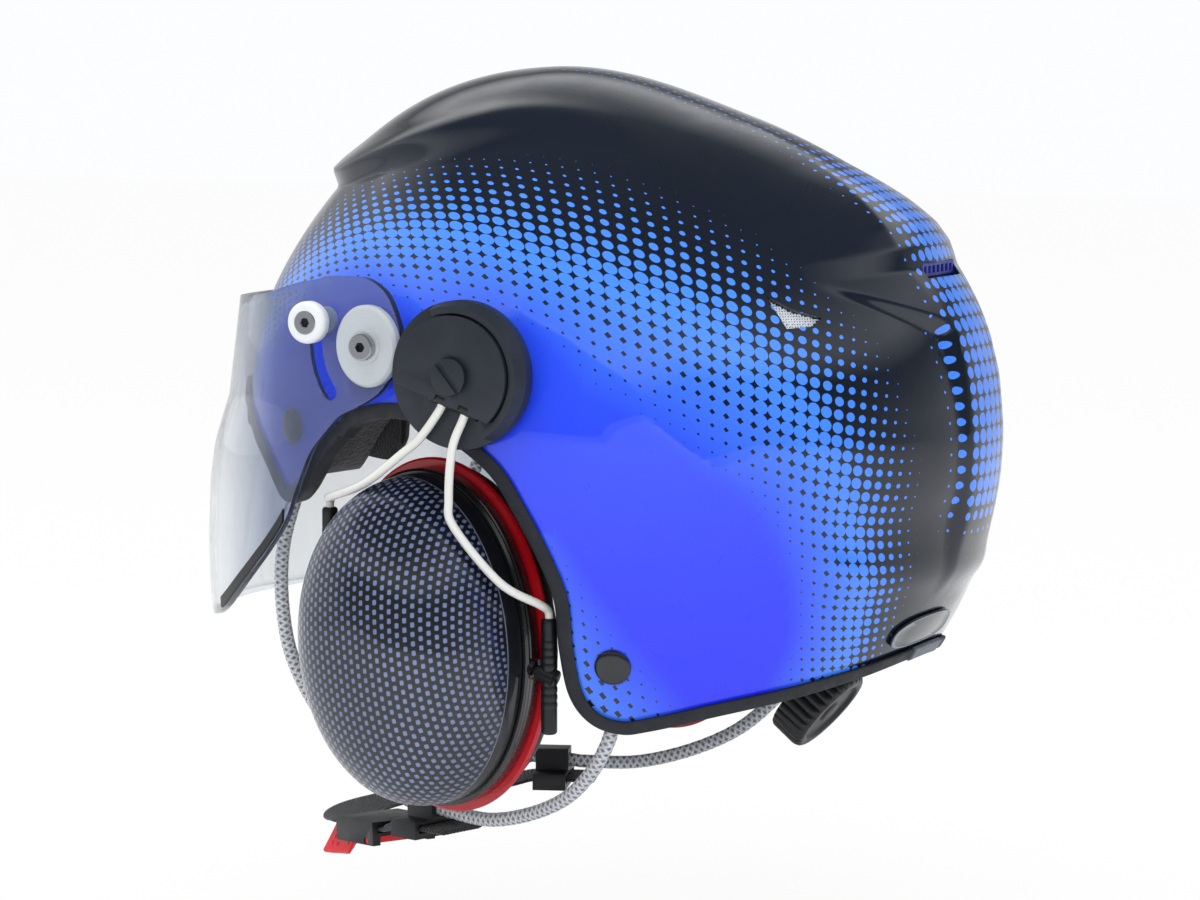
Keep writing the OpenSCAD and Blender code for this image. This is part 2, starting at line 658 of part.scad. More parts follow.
module visor_pivot_screws() {
    both() color("silver") difference() {
        union() {
            bar(pivot_x - 11, disc_end + 0.2, pivot_y, pivot_z, pivot_screw_d / 2);
            bar(disc_end + 0.1, disc_end + 2.5, pivot_y, pivot_z, 4.4);
        }
        translate([disc_end + 1, pivot_y, pivot_z]) rotate([0, 90, 0]) cylinder(h = 3, r = 2, $fn = 6);
    }
}

knob_head_x = plate_x - 1.7;
module visor_guide_knobs() {
    both() color("white") difference() {
        union() {
            bar(knob_x - 12, knob_head_x + 1, knob_y, knob_z, knob_shank_r);
            bar(knob_x + 3.4, plate_x - 11, knob_y, knob_z, knob_shank_r + 2);
            bar(knob_head_x, knob_head_x + 3.4, knob_y, knob_z, knob_d / 2);
            translate([knob_head_x + 3.4, knob_y, knob_z]) rotate([0, 90, 0])
                cylinder(h = 1, r1 = knob_d / 2, r2 = knob_d / 2 - 1, $fn = 48);
            bar(knob_x - 12, knob_x - 8.8, knob_y, knob_z, nut_r);
        }
        translate([knob_head_x + 2, knob_y, knob_z]) rotate([0, 90, 0]) cylinder(h = 4, r = 2.2, $fn = 6);
    }
}

// Patch of the shell's outside, as a thick sheet sunk below it, raised a touch
module side_patch() {
    ks = [18:32];
    hs = [for (j = [-1:7]) j / OUTER_ROWS];
    skin([for (h = hs) concat(
        [for (k = ks) let (d = dir_at(k, h)) shell_p(d[0], d[1]) + 0.05 * base_n(d[0], d[1])],
        [for (k = [32:-1:18]) let (d = dir_at(k, h)) base_p(d[0], d[1], -40)])]);
}

module mount_axes() {
    translate([0, mount_y, mount_z]) children();
}

spigot_r = 4.5;
module mount_base(s) {
    on_side(s) color("darkslategray") difference() {
        union() {
            bar(mount_x - 10, base_x + 0.1, mount_y, mount_z, pedestal_d / 2);
            bar(base_x, base_x + base_t, mount_y, mount_z, mount_d / 2);
            bar(base_x + 1, rotor_x + rotor_t + 0.05, mount_y, mount_z, spigot_r);
            translate([base_x + base_t, mount_y, mount_z]) rotate([0, 90, 0]) rotate(30)
                rotate_extrude(angle = 170, $fn = 96)
                polygon([[mount_d / 2 - 3.8, -0.1], [mount_d / 2, -0.1], [mount_d / 2 - 1.6, 5],
                         [mount_d / 2 - 3.8, 5]]);
        }
        side_patch();
        bar(mount_x - 20, mount_x + 30, mount_y, mount_z, stem_r + fit);
    }
}

// Turning plate: round with one flat edge, a groove for the yoke's bar along
// the flat and two slots that let the wires out
groove_r = 2.45;
groove_x = rotor_x + 3;
groove_off = flat_off - 1;
WIRE_S = [-1.1, 7.7];
module flat_axes() {
    translate([groove_x, mount_y, mount_z]) rotate([-yoke_turn, 0, 0]) children();
}
module rotor(s) {
    on_side(s) color("darkslategray") difference() {
        bar(rotor_x, rotor_x + rotor_t, mount_y, mount_z, rotor_d / 2);
        flat_axes() {
            translate([-10, -30, -flat_off - 30]) cube([20, 60, 30]);
            translate([0, -7, -groove_off]) rotate([-90, 0, 0]) cylinder(h = 20.5, r = groove_r, $fn = 48);
            for (w = WIRE_S)
                translate([0, w - 1.8, -flat_off - 1]) cube([5, 3.6, 3]);
        }
        bar(rotor_x - 5, rotor_x + 20, mount_y, mount_z, spigot_r + fit);
    }
}

module mount_screw(s) {
    head = rotor_x + rotor_t + 0.1;
    on_side(s) color("dimgray") {
        difference() {
            union() {
                bar(mount_x - 10, head + 0.1, mount_y, mount_z, stem_r);
                bar(head, head + 1.8, mount_y, mount_z, mount_screw_d / 2);
            }
            translate([head + 0.8, mount_y, mount_z]) rotate([-yoke_turn, 0, 0])
                translate([0, -1, -8]) cube([4, 2, 16]);
        }
        difference() {
            translate([mount_x - 10, mount_y, mount_z]) rotate([0, 90, 0]) cylinder(h = 4, r = 6.5, $fn = 6);
            bar(mount_x - 20, mount_x, mount_y, mount_z, stem_r + fit);
        }
    }
}

// Ear cup, in its own axes: X leaves the head, Z up
cup_top = -17;
cup_at = [mount_x - 9, mount_y - 21, cup_top - cup_h / 2];
cup_yaw = -6;
cup_roll = 5.8;
module cup_axes() {
    translate(cup_at) rotate([0, 0, cup_yaw]) rotate([cup_roll, 0, 0]) children();
}
function cup_world(p) =
    let (y = p.y * cos(cup_roll) - p.z * sin(cup_roll), z = p.y * sin(cup_roll) + p.z * cos(cup_roll))
    cup_at + [p.x * cos(cup_yaw) - y * sin(cup_yaw), p.x * sin(cup_yaw) + y * cos(cup_yaw), z];
REAR_PIN = [-4, 42.8, -14];
FRONT_PIN = [-4, -39.6, 25.6];
rear_pin = cup_world(REAR_PIN);
front_pin = cup_world(FRONT_PIN);
wire_r = wire_d / 2;
sleeve_rise = sleeve_l / 2;

// Straight lower end of a wire, its top at the given height over the pin
module wire_end(pin) {
    translate(pin + [0, 0, -sleeve_rise + 8]) cylinder(h = 2 * sleeve_rise - 6, r = wire_r, $fn = 32);
}

function groove_point(w, down) = [groove_x,
    mount_y + w * cos(yoke_turn) - (groove_off + down) * sin(yoke_turn),
    mount_z - w * sin(yoke_turn) - (groove_off + down) * cos(yoke_turn)];
FRONT_WIRE = concat([groove_point(WIRE_S[0], 0), groove_point(WIRE_S[0], 4)],
    [for (p = [[12.3, -12.8, -3], [12.3, -19.5, -8.5], [11.4, -34, -19], [-1.5, -53.5, -25.5]])
        [mount_x + p.x, mount_y + p.y, p.z]],
    [front_pin + [0.6, 0.8, sleeve_rise + 3.2], front_pin + [0, 0, sleeve_rise + 0.5],
     front_pin + [0, 0, sleeve_rise - 2]]);
REAR_WIRE = concat([groove_point(WIRE_S[1], 0), groove_point(WIRE_S[1], 4)],
    [for (p = [[13.6, -0.6, -6], [14.6, -1.4, -22], [14.6, 0.4, -31], [7.6, 13.2, -49], [-4.5, 21.6, -57.2]])
        [mount_x + p.x, mount_y + p.y, p.z]],
    [rear_pin + [0.3, -0.3, sleeve_rise + 2.6], rear_pin + [0, 0, sleeve_rise + 0.5],
     rear_pin + [0, 0, sleeve_rise - 2]]);

module yoke_wires(s) {
    on_side(s) color("silver") {
        flat_axes() translate([0, -6.5, -groove_off]) rotate([-90, 0, 0])
            cylinder(h = 19.5, r = groove_r - fit, $fn = 48);
        skin(carried(smooth(FRONT_WIRE, 2), disc_outline(wire_r, 8), [1, 0.3, 0]));
        skin(carried(smooth(REAR_WIRE, 2), disc_outline(wire_r, 8), [1, 0.3, 0]));
        wire_end(front_pin);
        wire_end(rear_pin);
    }
}

// Line through both pins, from the rear one to the front one
pin_way = unit(front_pin - rear_pin);
pin_r = 1.8;
module pin_line(from, l, r) {
    along(from, from + pin_way) cylinder(h = l, r = r, $fn = 32);
}

module arm_sleeves(s) {
    lug_in = 5;
    on_side(s) color("black") for (e = [[rear_pin, 1], [front_pin, -1]]) difference() {
        union() {
            translate(e[0] - [0, 0, sleeve_rise]) cylinder(h = sleeve_l, r = sleeve_w / 2, $fn = 32);
            along(e[0], e[0] + e[1] * pin_way) cylinder(h = lug_in + 3.4, r = pin_r, $fn = 32);
        }
        translate(e[0] - [0, 0, sleeve_rise - 6]) cylinder(h = sleeve_l, r = wire_r + fit, $fn = 32);
    }
}

// Rings of the domed cover: place out from its back, as a share of its depth
COVER_V = [0, 12, 26, 40, 54, 67, 79];
function dome_x(v) = pow(sin(v), 0.8);
function dome_r(v) = pow(cos(v), 0.8);
module cup_cover(s) {
    n = 30;
    a = cup_w / 2;
    b = cup_h / 2;
    w = cup_wall;
    inner = [for (v = [70, 50, 30, 12]) [dome_x(v), dome_r(v)]];
    on_side(s) cup_axes() color("black") difference() {
        loft([for (i = [6:-1:0]) let (v = COVER_V[i])
            [for (o = oval(a * dome_r(v), b * dome_r(v), n)) [cup_depth * dome_x(v), o.x, o.y]]],
            [cup_depth, 0, 0], [0, 0, 0]);
        loft(concat([for (e = inner)
            [for (o = oval((a - w) * e[1], (b - w) * e[1], n)) [(cup_depth - w) * e[0], o.x, o.y]]],
            [[for (o = oval(a - w, b - w, n)) [-1, o.x, o.y]]]),
            [cup_depth - w, 0, 0], [-1, 0, 0]);
    }
}

// Oval slab lying across the cup's X axis
module oval_slab(x0, x1, a, b, n) {
    translate([x0, 0, 0]) rotate([90, 0, 90]) linear_extrude(x1 - x0) polygon(oval(a, b, n));
}

module cup_base(s) {
    a = cup_w / 2 + 2;
    b = cup_h / 2 + 1.5;
    lug_from = 5;
    lug_to = 13;
    on_side(s) color("black") difference() {
        union() {
            cup_axes() difference() {
                oval_slab(-cup_base_t, -0.05, a, b, 40);
                oval_slab(-cup_base_t + 2.6, 1, a - 7, b - 7, 40);
                translate([-20, 0, 0]) rotate([0, 90, 0]) cylinder(h = 40, r = 14, $fn = 48);
            }
            for (e = [[rear_pin, 1], [front_pin, -1]])
                along(e[0] + e[1] * lug_from * pin_way, e[0] + e[1] * lug_to * pin_way)
                    cylinder(h = lug_to - lug_from, r = 3.6, $fn = 32);
        }
        for (e = [[rear_pin, 1], [front_pin, -1]])
            along(e[0], e[0] + e[1] * pin_way) cylinder(h = lug_from + 4, r = pin_r + fit, $fn = 32);
    }
}

module cup_ring(s) {
    a = cup_w / 2 + 5;
    b = cup_h / 2 + 4.5;
    on_side(s) cup_axes() color("crimson") difference() {
        oval_slab(-cup_base_t - ring_t - 0.1, -cup_base_t - 0.1, a, b, 40);
        oval_slab(-20, 0, a - 13, b - 13, 40);
    }
}

cushion_x = -cup_base_t - ring_t - 0.45;
module ear_cushion(s) {
    n = 32;
    a = cup_w / 2 + 2;
    b = cup_h / 2 + 1.5;
    wide = 14.5;
    outline = [for (i = [0:9]) let (g = 36 * i) [wide / 2 * cos(g), cushion_t / 2 * sin(g)]];
    on_side(s) cup_axes() color("black") {
        rings = [for (i = [0:n]) let (g = 360 * i / n, c = cos(g), e = sin(g))
            [for (o = outline) [cushion_x - cushion_t / 2 + o.y,
                (a - wide / 2 + o.x) * c, (b - wide / 2 + o.x) * e]]];
        m = len(outline);
        polyhedron([for (i = [0:n - 1]) each rings[i]],
            [for (j = [0:n - 1], i = [0:m - 1])
                let (k = (j + 1) % n, h = (i + 1) % m)
                each [[j * m + i, j * m + h, k * m + h], [j * m + i, k * m + h, k * m + i]]]);
    }
}

module ear_foam(s) {
    on_side(s) cup_axes() color("gray")
        oval_slab(-cup_base_t - 2.6, -cup_base_t - 0.3, cup_w / 2 - 8.6, cup_h / 2 - 9.1, 32);
}

module speaker(s) {
    on_side(s) cup_axes() color("dimgray") difference() {
        translate([-cup_base_t + 2.7, 0, 0]) rotate([0, 90, 0]) cylinder(h = 5, r = 18, $fn = 48);
        translate([-cup_base_t + 2.6, 0, 0]) rotate([0, 90, 0]) cylinder(h = 2, r = 13, $fn = 48);
    }
}

// Free cords: from the front ferrule down under the jaw and up to the rear one
cord_r = cord_d / 2;
SLIDE_A = fitted([46, -62, -136.5]);
SLIDE_B = fitted([53, -40, -138.5]);
front_end = ferrule_end(front_rivet, FRONT_AIM);
rear_end = ferrule_end(rear_rivet, REAR_AIM);
slide_mid = (SLIDE_A + SLIDE_B) / 2;
slide_way = unit(SLIDE_B - SLIDE_A);
CORD_ROUTE = concat(
    [front_end, (front_end + FRONT_AIM) / 2, FRONT_AIM],
    [for (p = [[69.2, -93, -36], [68.4, -97, -50], [65.5, -99, -68], [61, -98, -87], [54, -92, -106],
               [47, -82, -122]]) fitted(p)],
    [SLIDE_A, SLIDE_A + 4 * slide_way, SLIDE_B - 4 * slide_way, SLIDE_B],
    [for (p = [[60, -22.3, -138.5], [66, -4.3, -134], [72, 11.6, -126.5], [77, 23.1, -116.5],
               [80, 30, -107]]) fitted(p)],
    [REAR_AIM, (rear_end + REAR_AIM) / 2, rear_end]);
module strap_cord(s) {
    on_side(s) color("silver") skin(carried(smooth(CORD_ROUTE, 3), disc_outline(cord_r, 8), [1, 0, 0]));
}

// Slide that joins each cord to the chin webbing
slide_turn = atan2(slide_way.y, slide_way.x);
slide_l = 12;
web_drop = -6.6;
module strap_slides() {
    both() color("dimgray") difference() {
        translate(slide_mid) rotate([0, 0, slide_turn]) {
            translate([-slide_l / 2, -cord_r - 2.1, -4.5]) cube([slide_l, cord_d + 4.2, 8.5]);
            translate([-slide_l / 2, -strap_w / 2 - 2.5, web_drop - strap_t / 2 - 2.4])
                cube([slide_l, strap_w + 5, strap_t + 4.2]);
        }
        along(slide_mid - 20 * slide_way, slide_mid) cylinder(h = 40, r = cord_r + 0.3, $fn = 32);
        translate(slide_mid) rotate([0, 0, slide_turn])
            translate([-20, -strap_w / 2 - 0.6, web_drop - strap_t / 2 - 0.4])
            cube([40, strap_w + 1.2, strap_t + 0.8]);
    }
}

// Chin webbing: the left part ends in the buckle, the right part carries the
// ratchet under the chin
web_z = slide_mid.z + web_drop;
function web_p(p) = fitted([p.x, p.y, 0]) + [0, 0, web_z + p.z];
BUCKLE_A = web_p([43.5, -64, -3.2]);
BUCKLE_B = web_p([29.5, -87, -5]);
buckle_way = unit(BUCKLE_B - BUCKLE_A);
buckle_l = norm(BUCKLE_B - BUCKLE_A);
module left_chin_strap() {
    route = [web_p([54.5, -36, 0]), web_p([49.5, -51, 0]), web_p([47.2, -58, 0]), BUCKLE_A - 2 * buckle_way,
             BUCKLE_A + 3 * buckle_way];
    color("black") skin(carried(smooth(route, 3), webbing(strap_w, strap_t), [0, 0, 1]));
}
module right_chin_strap() {
    route = concat([for (p = [[-54.5, -36, 0], [-49.5, -51, 0], [-47.2, -58, 0], [-42.5, -67, -2.2],
        [-35, -79.5, -4], [-27, -90, -5.4], [-19.5, -97.3, -6.2], [-10, -101.6, -6.8], [0, -103, -7],
        [10.5, -101.6, -7], [19.8, -97.4, -6.6]]) web_p(p)],
        [BUCKLE_B + 5 * buckle_way, BUCKLE_B + 3 * buckle_way, BUCKLE_B + buckle_way]);
    color("black") skin(carried(smooth(route, 3), webbing(strap_w, strap_t), [0, 0, 1]));
}

// Buckle axes: X along the webbing towards the chin, Z up
module buckle_axes() {
    along(BUCKLE_A, BUCKLE_B) rotate([0, -90, 0]) children();
}
body_w = strap_w + 5;
pin_at = [5, -4.2];
module buckle_body() {
    buckle_axes() color("black") difference() {
        translate([0, -body_w / 2, -5.6]) cube([buckle_l - 2, body_w, 8.2]);
        translate([-1, -strap_w / 2 - 0.5, -strap_t / 2 - 0.4]) cube([6, strap_w + 1, strap_t + 0.8]);
        translate([7, -strap_w / 2 - 0.5, -strap_t / 2 - 0.5]) cube([60, strap_w + 1, strap_t + 1]);
        translate([-1, -body_w / 2 + 3, -6]) cube([60, body_w - 6, 4]);
        translate([pin_at.x, -20, pin_at.y]) rotate([-90, 0, 0]) cylinder(h = 40, r = 1.25, $fn = 32);
    }
}
module buckle_ratchet() {
    buckle_axes() color("dimgray") {
        translate([9, -strap_w / 2, -strap_t / 2 + 0.1]) cube([buckle_l - 8.4, strap_w, 1]);
        for (k = [0:5])
            translate([10 + 2 * k, -7, -strap_t / 2 - 0.35]) cube([1, 14, 0.6]);
    }
}
module buckle_lever() {
    buckle_axes() color("red") difference() {
        union() {
            translate([pin_at.x, -body_w / 2 + 0.5, pin_at.y]) rotate([-90, 0, 0])
                cylinder(h = body_w - 1, r = 1.2, $fn = 32);
            translate([pin_at.x - 1.5, -body_w / 2 + 3.3, -5.2]) cube([buckle_l - 4.5, body_w - 6.6, 2.2]);
            translate([buckle_l - 1.5, 0, -4.1]) rotate([0, 8, 0]) translate([-1, -5.5, -1.1])
                cube([26, 11, 2]);
        }
        translate([buckle_l + 3, -2.5, -12]) cube([5, 5, 20]);
    }
}

// Nape adjuster: a band that slides fore and aft in two guides, drawn by a dial
cradle_x = half_w - 50;
cradle_z = -83;
arm_y = 20;
bend_y = 46;
bend_power = 1.1;
nape_y = 66 * long_k;
module nape_cradle() {
    n = 16;
    h = band_h / 2;
    w = band_t / 2;
    outline = [[w, -h], [w, h], [-w, h], [-w, -h]];
    bend = [for (i = [0:n]) let (g = 180 * i / n)
        [cradle_x * cos(g), bend_y + (nape_y - bend_y) * pow(sin(g), bend_power), cradle_z]];
    path = concat([[cradle_x, arm_y, cradle_z]], bend, [[-cradle_x, arm_y, cradle_z]]);
    color("black") {
        difference() {
            union() {
                skin(carried(path, outline, [0, 0, 1]));
                translate([-9, nape_y - 1.3, cradle_z - 13]) cube([18, 2.6, 13]);
                dial_axes() translate([0, 0, -dial_t / 2 - 3.5]) cylinder(h = 3, r = 9, $fn = 48);
            }
        }
        dial_axes() translate([0, 0, -dial_t / 2 - 3]) cylinder(h = dial_t + 1, r = 3, $fn = 48);
    }
}
module dial_axes() {
    translate([0, nape_y + 7, cradle_z - 17]) rotate([-90 - 40, 0, 0]) children();
}
module nape_dial() {
    dial_axes() color("dimgray") difference() {
        union() {
            translate([0, 0, -dial_t / 2]) cylinder(h = dial_t - 1.5, r = dial_d / 2, $fn = 72);
            translate([0, 0, dial_t / 2 - 1.5]) cylinder(h = 1.5, r1 = dial_d / 2, r2 = dial_d / 2 - 1.5, $fn = 72);
        }
        translate([0, 0, -dial_t]) cylinder(h = 2 * dial_t, r = 3 + fit, $fn = 48);
        for (i = [0:11]) rotate(30 * i) translate([dial_d / 2 + 0.6, 0, -dial_t])
            cylinder(h = 2 * dial_t, r = 1.6, $fn = 16);
    }
}
module nape_pad() {
    h = band_h / 2 - 1;
    color("black") skin([for (i = [0:10])
        let (g = 58 + 6.4 * i, u = i / 5 - 1, f = swell(u, 4, 0.3), back = band_t / 2 + 0.4)
        [for (o = [[0, h], [0.3, 0], [0, -h], [-3 * f, -h * 0.9], [-5.5 * f, 0], [-3 * f, h * 0.9]])
            let (r = o.x - back - 0.6)
            [(cradle_x + r) * cos(g), bend_y + (nape_y - bend_y + r) * pow(sin(g), bend_power), cradle_z + o.y]]]);
}
guide_y = bend_y - 18.6;
guide_out = half_w - 41.4;
module cradle_guides() {
    gap = 0.15;
    h = band_h / 2;
    both() color("dimgray") difference() {
        translate([cradle_x - 3, guide_y, cradle_z - h - 2])
            cube([guide_out - cradle_x + 3, 8, 2 * h + 4]);
        translate([cradle_x - band_t / 2 - gap, 0, cradle_z - h - gap]) cube([band_t + 2 * gap, 60, 2 * (h + gap)]);
    }
}

outer_shell();
eps_liner();
brow_pad();
crown_pad();
cheek_pad(1);  // left_cheek_pad
cheek_pad(-1);  // right_cheek_pad
edge_trim();
trim_sleeve();
size_badge();
side_vent_meshes();
rear_vent_grille();
strap_rivets();
visor_lens();
visor_edge_strips();
visor_pivot_bosses();
visor_pivot_discs();
visor_pivot_screws();
visor_guide_knobs();
mount_base(1);  // left_mount_base
rotor(1);  // left_rotor
mount_screw(1);  // left_mount_screw
yoke_wires(1);  // left_yoke_wires
arm_sleeves(1);  // left_arm_sleeves
cup_cover(1);  // left_cup_cover
cup_base(1);  // left_cup_base
cup_ring(1);  // left_cup_ring
ear_cushion(1);  // left_ear_cushion
ear_foam(1);  // left_ear_foam
speaker(1);  // left_speaker
mount_base(-1);  // right_mount_base
rotor(-1);  // right_rotor
mount_screw(-1);  // right_mount_screw
yoke_wires(-1);  // right_yoke_wires
arm_sleeves(-1);  // right_arm_sleeves
cup_cover(-1);  // right_cup_cover
cup_base(-1);  // right_cup_base
cup_ring(-1);  // right_cup_ring
ear_cushion(-1);  // right_ear_cushion
ear_foam(-1);  // right_ear_foam
speaker(-1);  // right_speaker
cord_anchors();
strap_cord(1);  // left_strap_cord
strap_cord(-1);  // right_strap_cord
strap_slides();
left_chin_strap();
right_chin_strap();
buckle_body();
buckle_ratchet();
buckle_lever();
cradle_guides();
nape_cradle();
nape_dial();
nape_pad();
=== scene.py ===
# %% [markdown]
# # An air sports helmet with a clear visor and ear muffs
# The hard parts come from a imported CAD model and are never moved. This lesson dresses
# them: each cell makes one piece or one finish, says what it is on the real helmet,
# and prints what it measured. Lengths are in millimetres until a mesh is made.

# %% Load the frame
import bpy
import bmesh
import numpy as np
from mathutils import Matrix, Vector


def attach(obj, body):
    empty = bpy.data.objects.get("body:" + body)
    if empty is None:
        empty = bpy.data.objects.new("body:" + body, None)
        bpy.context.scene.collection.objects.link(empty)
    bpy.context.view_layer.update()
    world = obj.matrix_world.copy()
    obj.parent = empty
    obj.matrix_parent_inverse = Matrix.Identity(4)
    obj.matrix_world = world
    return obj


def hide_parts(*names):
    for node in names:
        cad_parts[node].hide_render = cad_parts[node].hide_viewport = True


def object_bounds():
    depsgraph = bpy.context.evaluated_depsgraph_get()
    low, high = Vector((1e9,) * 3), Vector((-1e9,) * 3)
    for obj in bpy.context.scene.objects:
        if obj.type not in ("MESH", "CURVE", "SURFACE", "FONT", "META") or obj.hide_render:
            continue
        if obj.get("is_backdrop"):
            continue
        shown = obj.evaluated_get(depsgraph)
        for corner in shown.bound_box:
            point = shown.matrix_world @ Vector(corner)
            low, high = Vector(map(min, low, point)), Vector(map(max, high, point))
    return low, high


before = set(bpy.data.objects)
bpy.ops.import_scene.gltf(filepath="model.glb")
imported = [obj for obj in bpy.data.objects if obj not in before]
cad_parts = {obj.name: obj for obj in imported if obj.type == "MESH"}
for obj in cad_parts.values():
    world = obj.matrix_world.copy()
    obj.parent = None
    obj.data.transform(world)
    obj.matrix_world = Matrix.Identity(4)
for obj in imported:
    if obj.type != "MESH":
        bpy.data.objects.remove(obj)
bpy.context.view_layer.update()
MM = 0.001
X, Y, Z = np.eye(3)

# %% [markdown]
# ## The camera
# The picture was taken from the wearer's left and a little behind, almost level, from
# far enough away that near and far parts keep their size. A long lens at 1.4 m gives
# the same drawing; the lens length follows from 2.89 pixels per millimetre there.

# %% Camera
AZIMUTH, ELEVATION = np.radians(115.0), np.radians(6.0)
CAMERA_AWAY = 1400.0
CAMERA_LENS, SENSOR = 121.4, 36.0
AIM_RIGHT, AIM_UP = -8.3, -17.3
toward = np.array([np.sin(AZIMUTH) * np.cos(ELEVATION), -np.cos(AZIMUTH) * np.cos(ELEVATION),
                   np.sin(ELEVATION)])
rightward = np.array([np.cos(AZIMUTH), np.sin(AZIMUTH), 0.0])
upward = np.cross(toward, rightward)
camera = bpy.data.objects.new("camera", bpy.data.cameras.new("camera"))
bpy.context.scene.collection.objects.link(camera)
camera.data.lens, camera.data.sensor_width = CAMERA_LENS, SENSOR
camera.data.clip_start, camera.data.clip_end = 0.05, 50.0
camera.location = Vector((AIM_RIGHT * rightward + AIM_UP * upward + CAMERA_AWAY * toward) * MM)
camera.rotation_mode = "QUATERNION"
camera.rotation_quaternion = Vector(-toward).to_track_quat("-Z", "Y")
bpy.context.scene.camera = camera
print("camera at", np.round(np.array(camera.location), 3))

# %% [markdown]
# ## Meshes from arrays
# Every new piece is a grid of points, so one helper turns arrays of points and faces
# into a mesh. Whole arrays go in and come out at once, which is quick, and UVs are kept
# in millimetres so that weaves have a real scale.

# %% Mesh helpers
def solid(name, points, faces, uvs):
    """Mesh object from points in mm and a list of arrays of 3- or 4-cornered faces. The
    corner UVs come in the same order as the faces' corners."""
    mesh = bpy.data.meshes.new(name)
    corners = np.concatenate([f.ravel() for f in faces])
    sizes = np.concatenate([np.full(len(f), f.shape[1]) for f in faces])
    mesh.vertices.add(len(points))
    mesh.vertices.foreach_set("co", (points * MM).astype(np.float32).ravel())
    mesh.loops.add(len(corners))
    mesh.loops.foreach_set("vertex_index", corners.astype(np.int32))
    mesh.polygons.add(len(sizes))
    mesh.polygons.foreach_set("loop_start", (np.cumsum(sizes) - sizes).astype(np.int32))
    mesh.update(calc_edges=True)
    mesh.uv_layers.new(name="cloth").uv.foreach_set("vector", uvs.astype(np.float32).ravel())
    smooth(mesh)
    return linked(name, mesh)


def linked(name, data):
    """A new object in the scene, from a mesh or a lamp."""
    made = bpy.data.objects.new(name, data)
    bpy.context.scene.collection.objects.link(made)
    return made


def numbers(rows, key):
    """A vector of each of a mesh's points or faces, such as its place, as an array."""
    flat = np.empty(len(rows) * 3, np.float32)
    rows.foreach_get(key, flat)
    return flat.reshape(-1, 3).astype(float)


def corners_of(mesh):
    """Index of the point at each corner of each face."""
    index = np.empty(len(mesh.loops), np.int32)
    mesh.loops.foreach_get("vertex_index", index)
    return index


def lay_maps(mesh, **maps):
    """Puts UV maps, given as one pair of numbers for each point, in place of the old ones."""
    for layer in list(mesh.uv_layers):
        mesh.uv_layers.remove(layer)
    for name, uv in maps.items():
        rows = uv[corners_of(mesh)].astype(np.float32)
        mesh.uv_layers.new(name=name).uv.foreach_set("vector", rows.ravel())


def note(mesh, name, values):
    """Keeps three numbers for each point as an attribute that a finish can read."""
    made = mesh.attributes.new(name, "FLOAT_VECTOR", "POINT")
    made.data.foreach_set("vector", values.astype(np.float32).ravel())


def smooth(mesh, crease=38.0):
    """Shades a mesh smooth, but keeps edges sharper than the crease angle."""
    mesh.shade_smooth()
    mesh.set_sharp_from_angle(angle=np.radians(crease))


print("mesh helpers ready")

# %% [markdown]
# ## Curves, sweeps and tubes
# Most pieces are rings carried along a curve. These helpers give the numbers: smooth
# steps and bells, points round a circle, a smooth curve through route points, and the
# axes in which an outline is set at each point. A tube closes the rings into a mesh.

# %% Curves and tubes
def unit(v):
    """Vectors scaled to length one, along the last axis."""
    return v / np.linalg.norm(v, axis=-1, keepdims=True)


def mix(a, b, k):
    """Value at share k of the way from a to b."""
    return a + (b - a) * k


def ease(a, b, v):
    """Smooth step, from 0 at a to 1 at b: 3k^2 - 2k^3."""
    k = np.clip((v - a) / (b - a), 0, 1)
    return k * k * (3 - 2 * k)


def bell(v, middle, wide):
    """Bell curve, e^(-k^2) for k = (v - middle) / wide."""
    return np.exp(-((v - middle) / wide)**2)


def power(v, n):
    """v^n that keeps the sign of v: of a cosine or sine it makes a fuller oval."""
    return np.sign(v) * np.abs(v)**n


def turns(count):
    """Angles of count equal steps round a circle."""
    return np.arange(count) / count * 2 * np.pi


def around(g):
    """Points of a circle of radius one at angles g, along a new last axis."""
    return np.stack([np.cos(g), np.sin(g)], -1)


def ring_of(radius, sides):
    """Flat circle of points, (sides, 2)."""
    return radius * around(turns(sides))


def length_of(path):
    """Length of a path of points."""
    return float(np.linalg.norm(np.diff(path, axis=0), axis=1).sum())


def evenly(path, step):
    """The same path, walked again with points about step mm apart."""
    run = np.concatenate([[0], np.cumsum(np.linalg.norm(np.diff(path, axis=0), axis=1))])
    at = np.linspace(0, run[-1], max(2, int(round(run[-1] / step)) + 1))
    return np.stack([np.interp(at, run, path[:, k]) for k in range(3)], -1)


def straight(first, last, step=1.0):
    """Even points on the straight line between two places."""
    return evenly(np.stack([first, last]), step)


def cubic(a, b, c, d, f):
    """Catmull-Rom blend of four neighbours, at share f of the way from b to c."""
    return 0.5 * (2 * b + (c - a) * f + (2 * a - 5 * b + 4 * c - d) * f**2
                  + (3 * b - a - 3 * c + d) * f**3)


def curve_through(p, per):
    """Smooth curve through route points, with per steps in each stretch, where each end
    has a neighbour mirrored past it."""
    p = np.asarray(p, float)
    p = np.concatenate([2 * p[:1] - p[1:2], p, 2 * p[-1:] - p[-2:-1]])
    f = (np.arange(per) / per)[None, :, None]
    line = cubic(*(p[k:len(p) - 3 + k][:, None] for k in range(4)), f)
    return np.concatenate([line.reshape(-1, p.shape[1]), p[-2:-1]])


def frames_of(path, up):
    """Way of travel, and two directions square to it, at each point of a path. Up
    steadies the second one: first = up x way, second = way x first."""
    way = np.empty_like(path)
    way[1:-1] = path[2:] - path[:-2]
    way[0], way[-1] = path[1] - path[0], path[-1] - path[-2]
    way = unit(way)
    a = unit(np.cross(np.broadcast_to(up, way.shape), way))
    return way, a, np.cross(way, a)


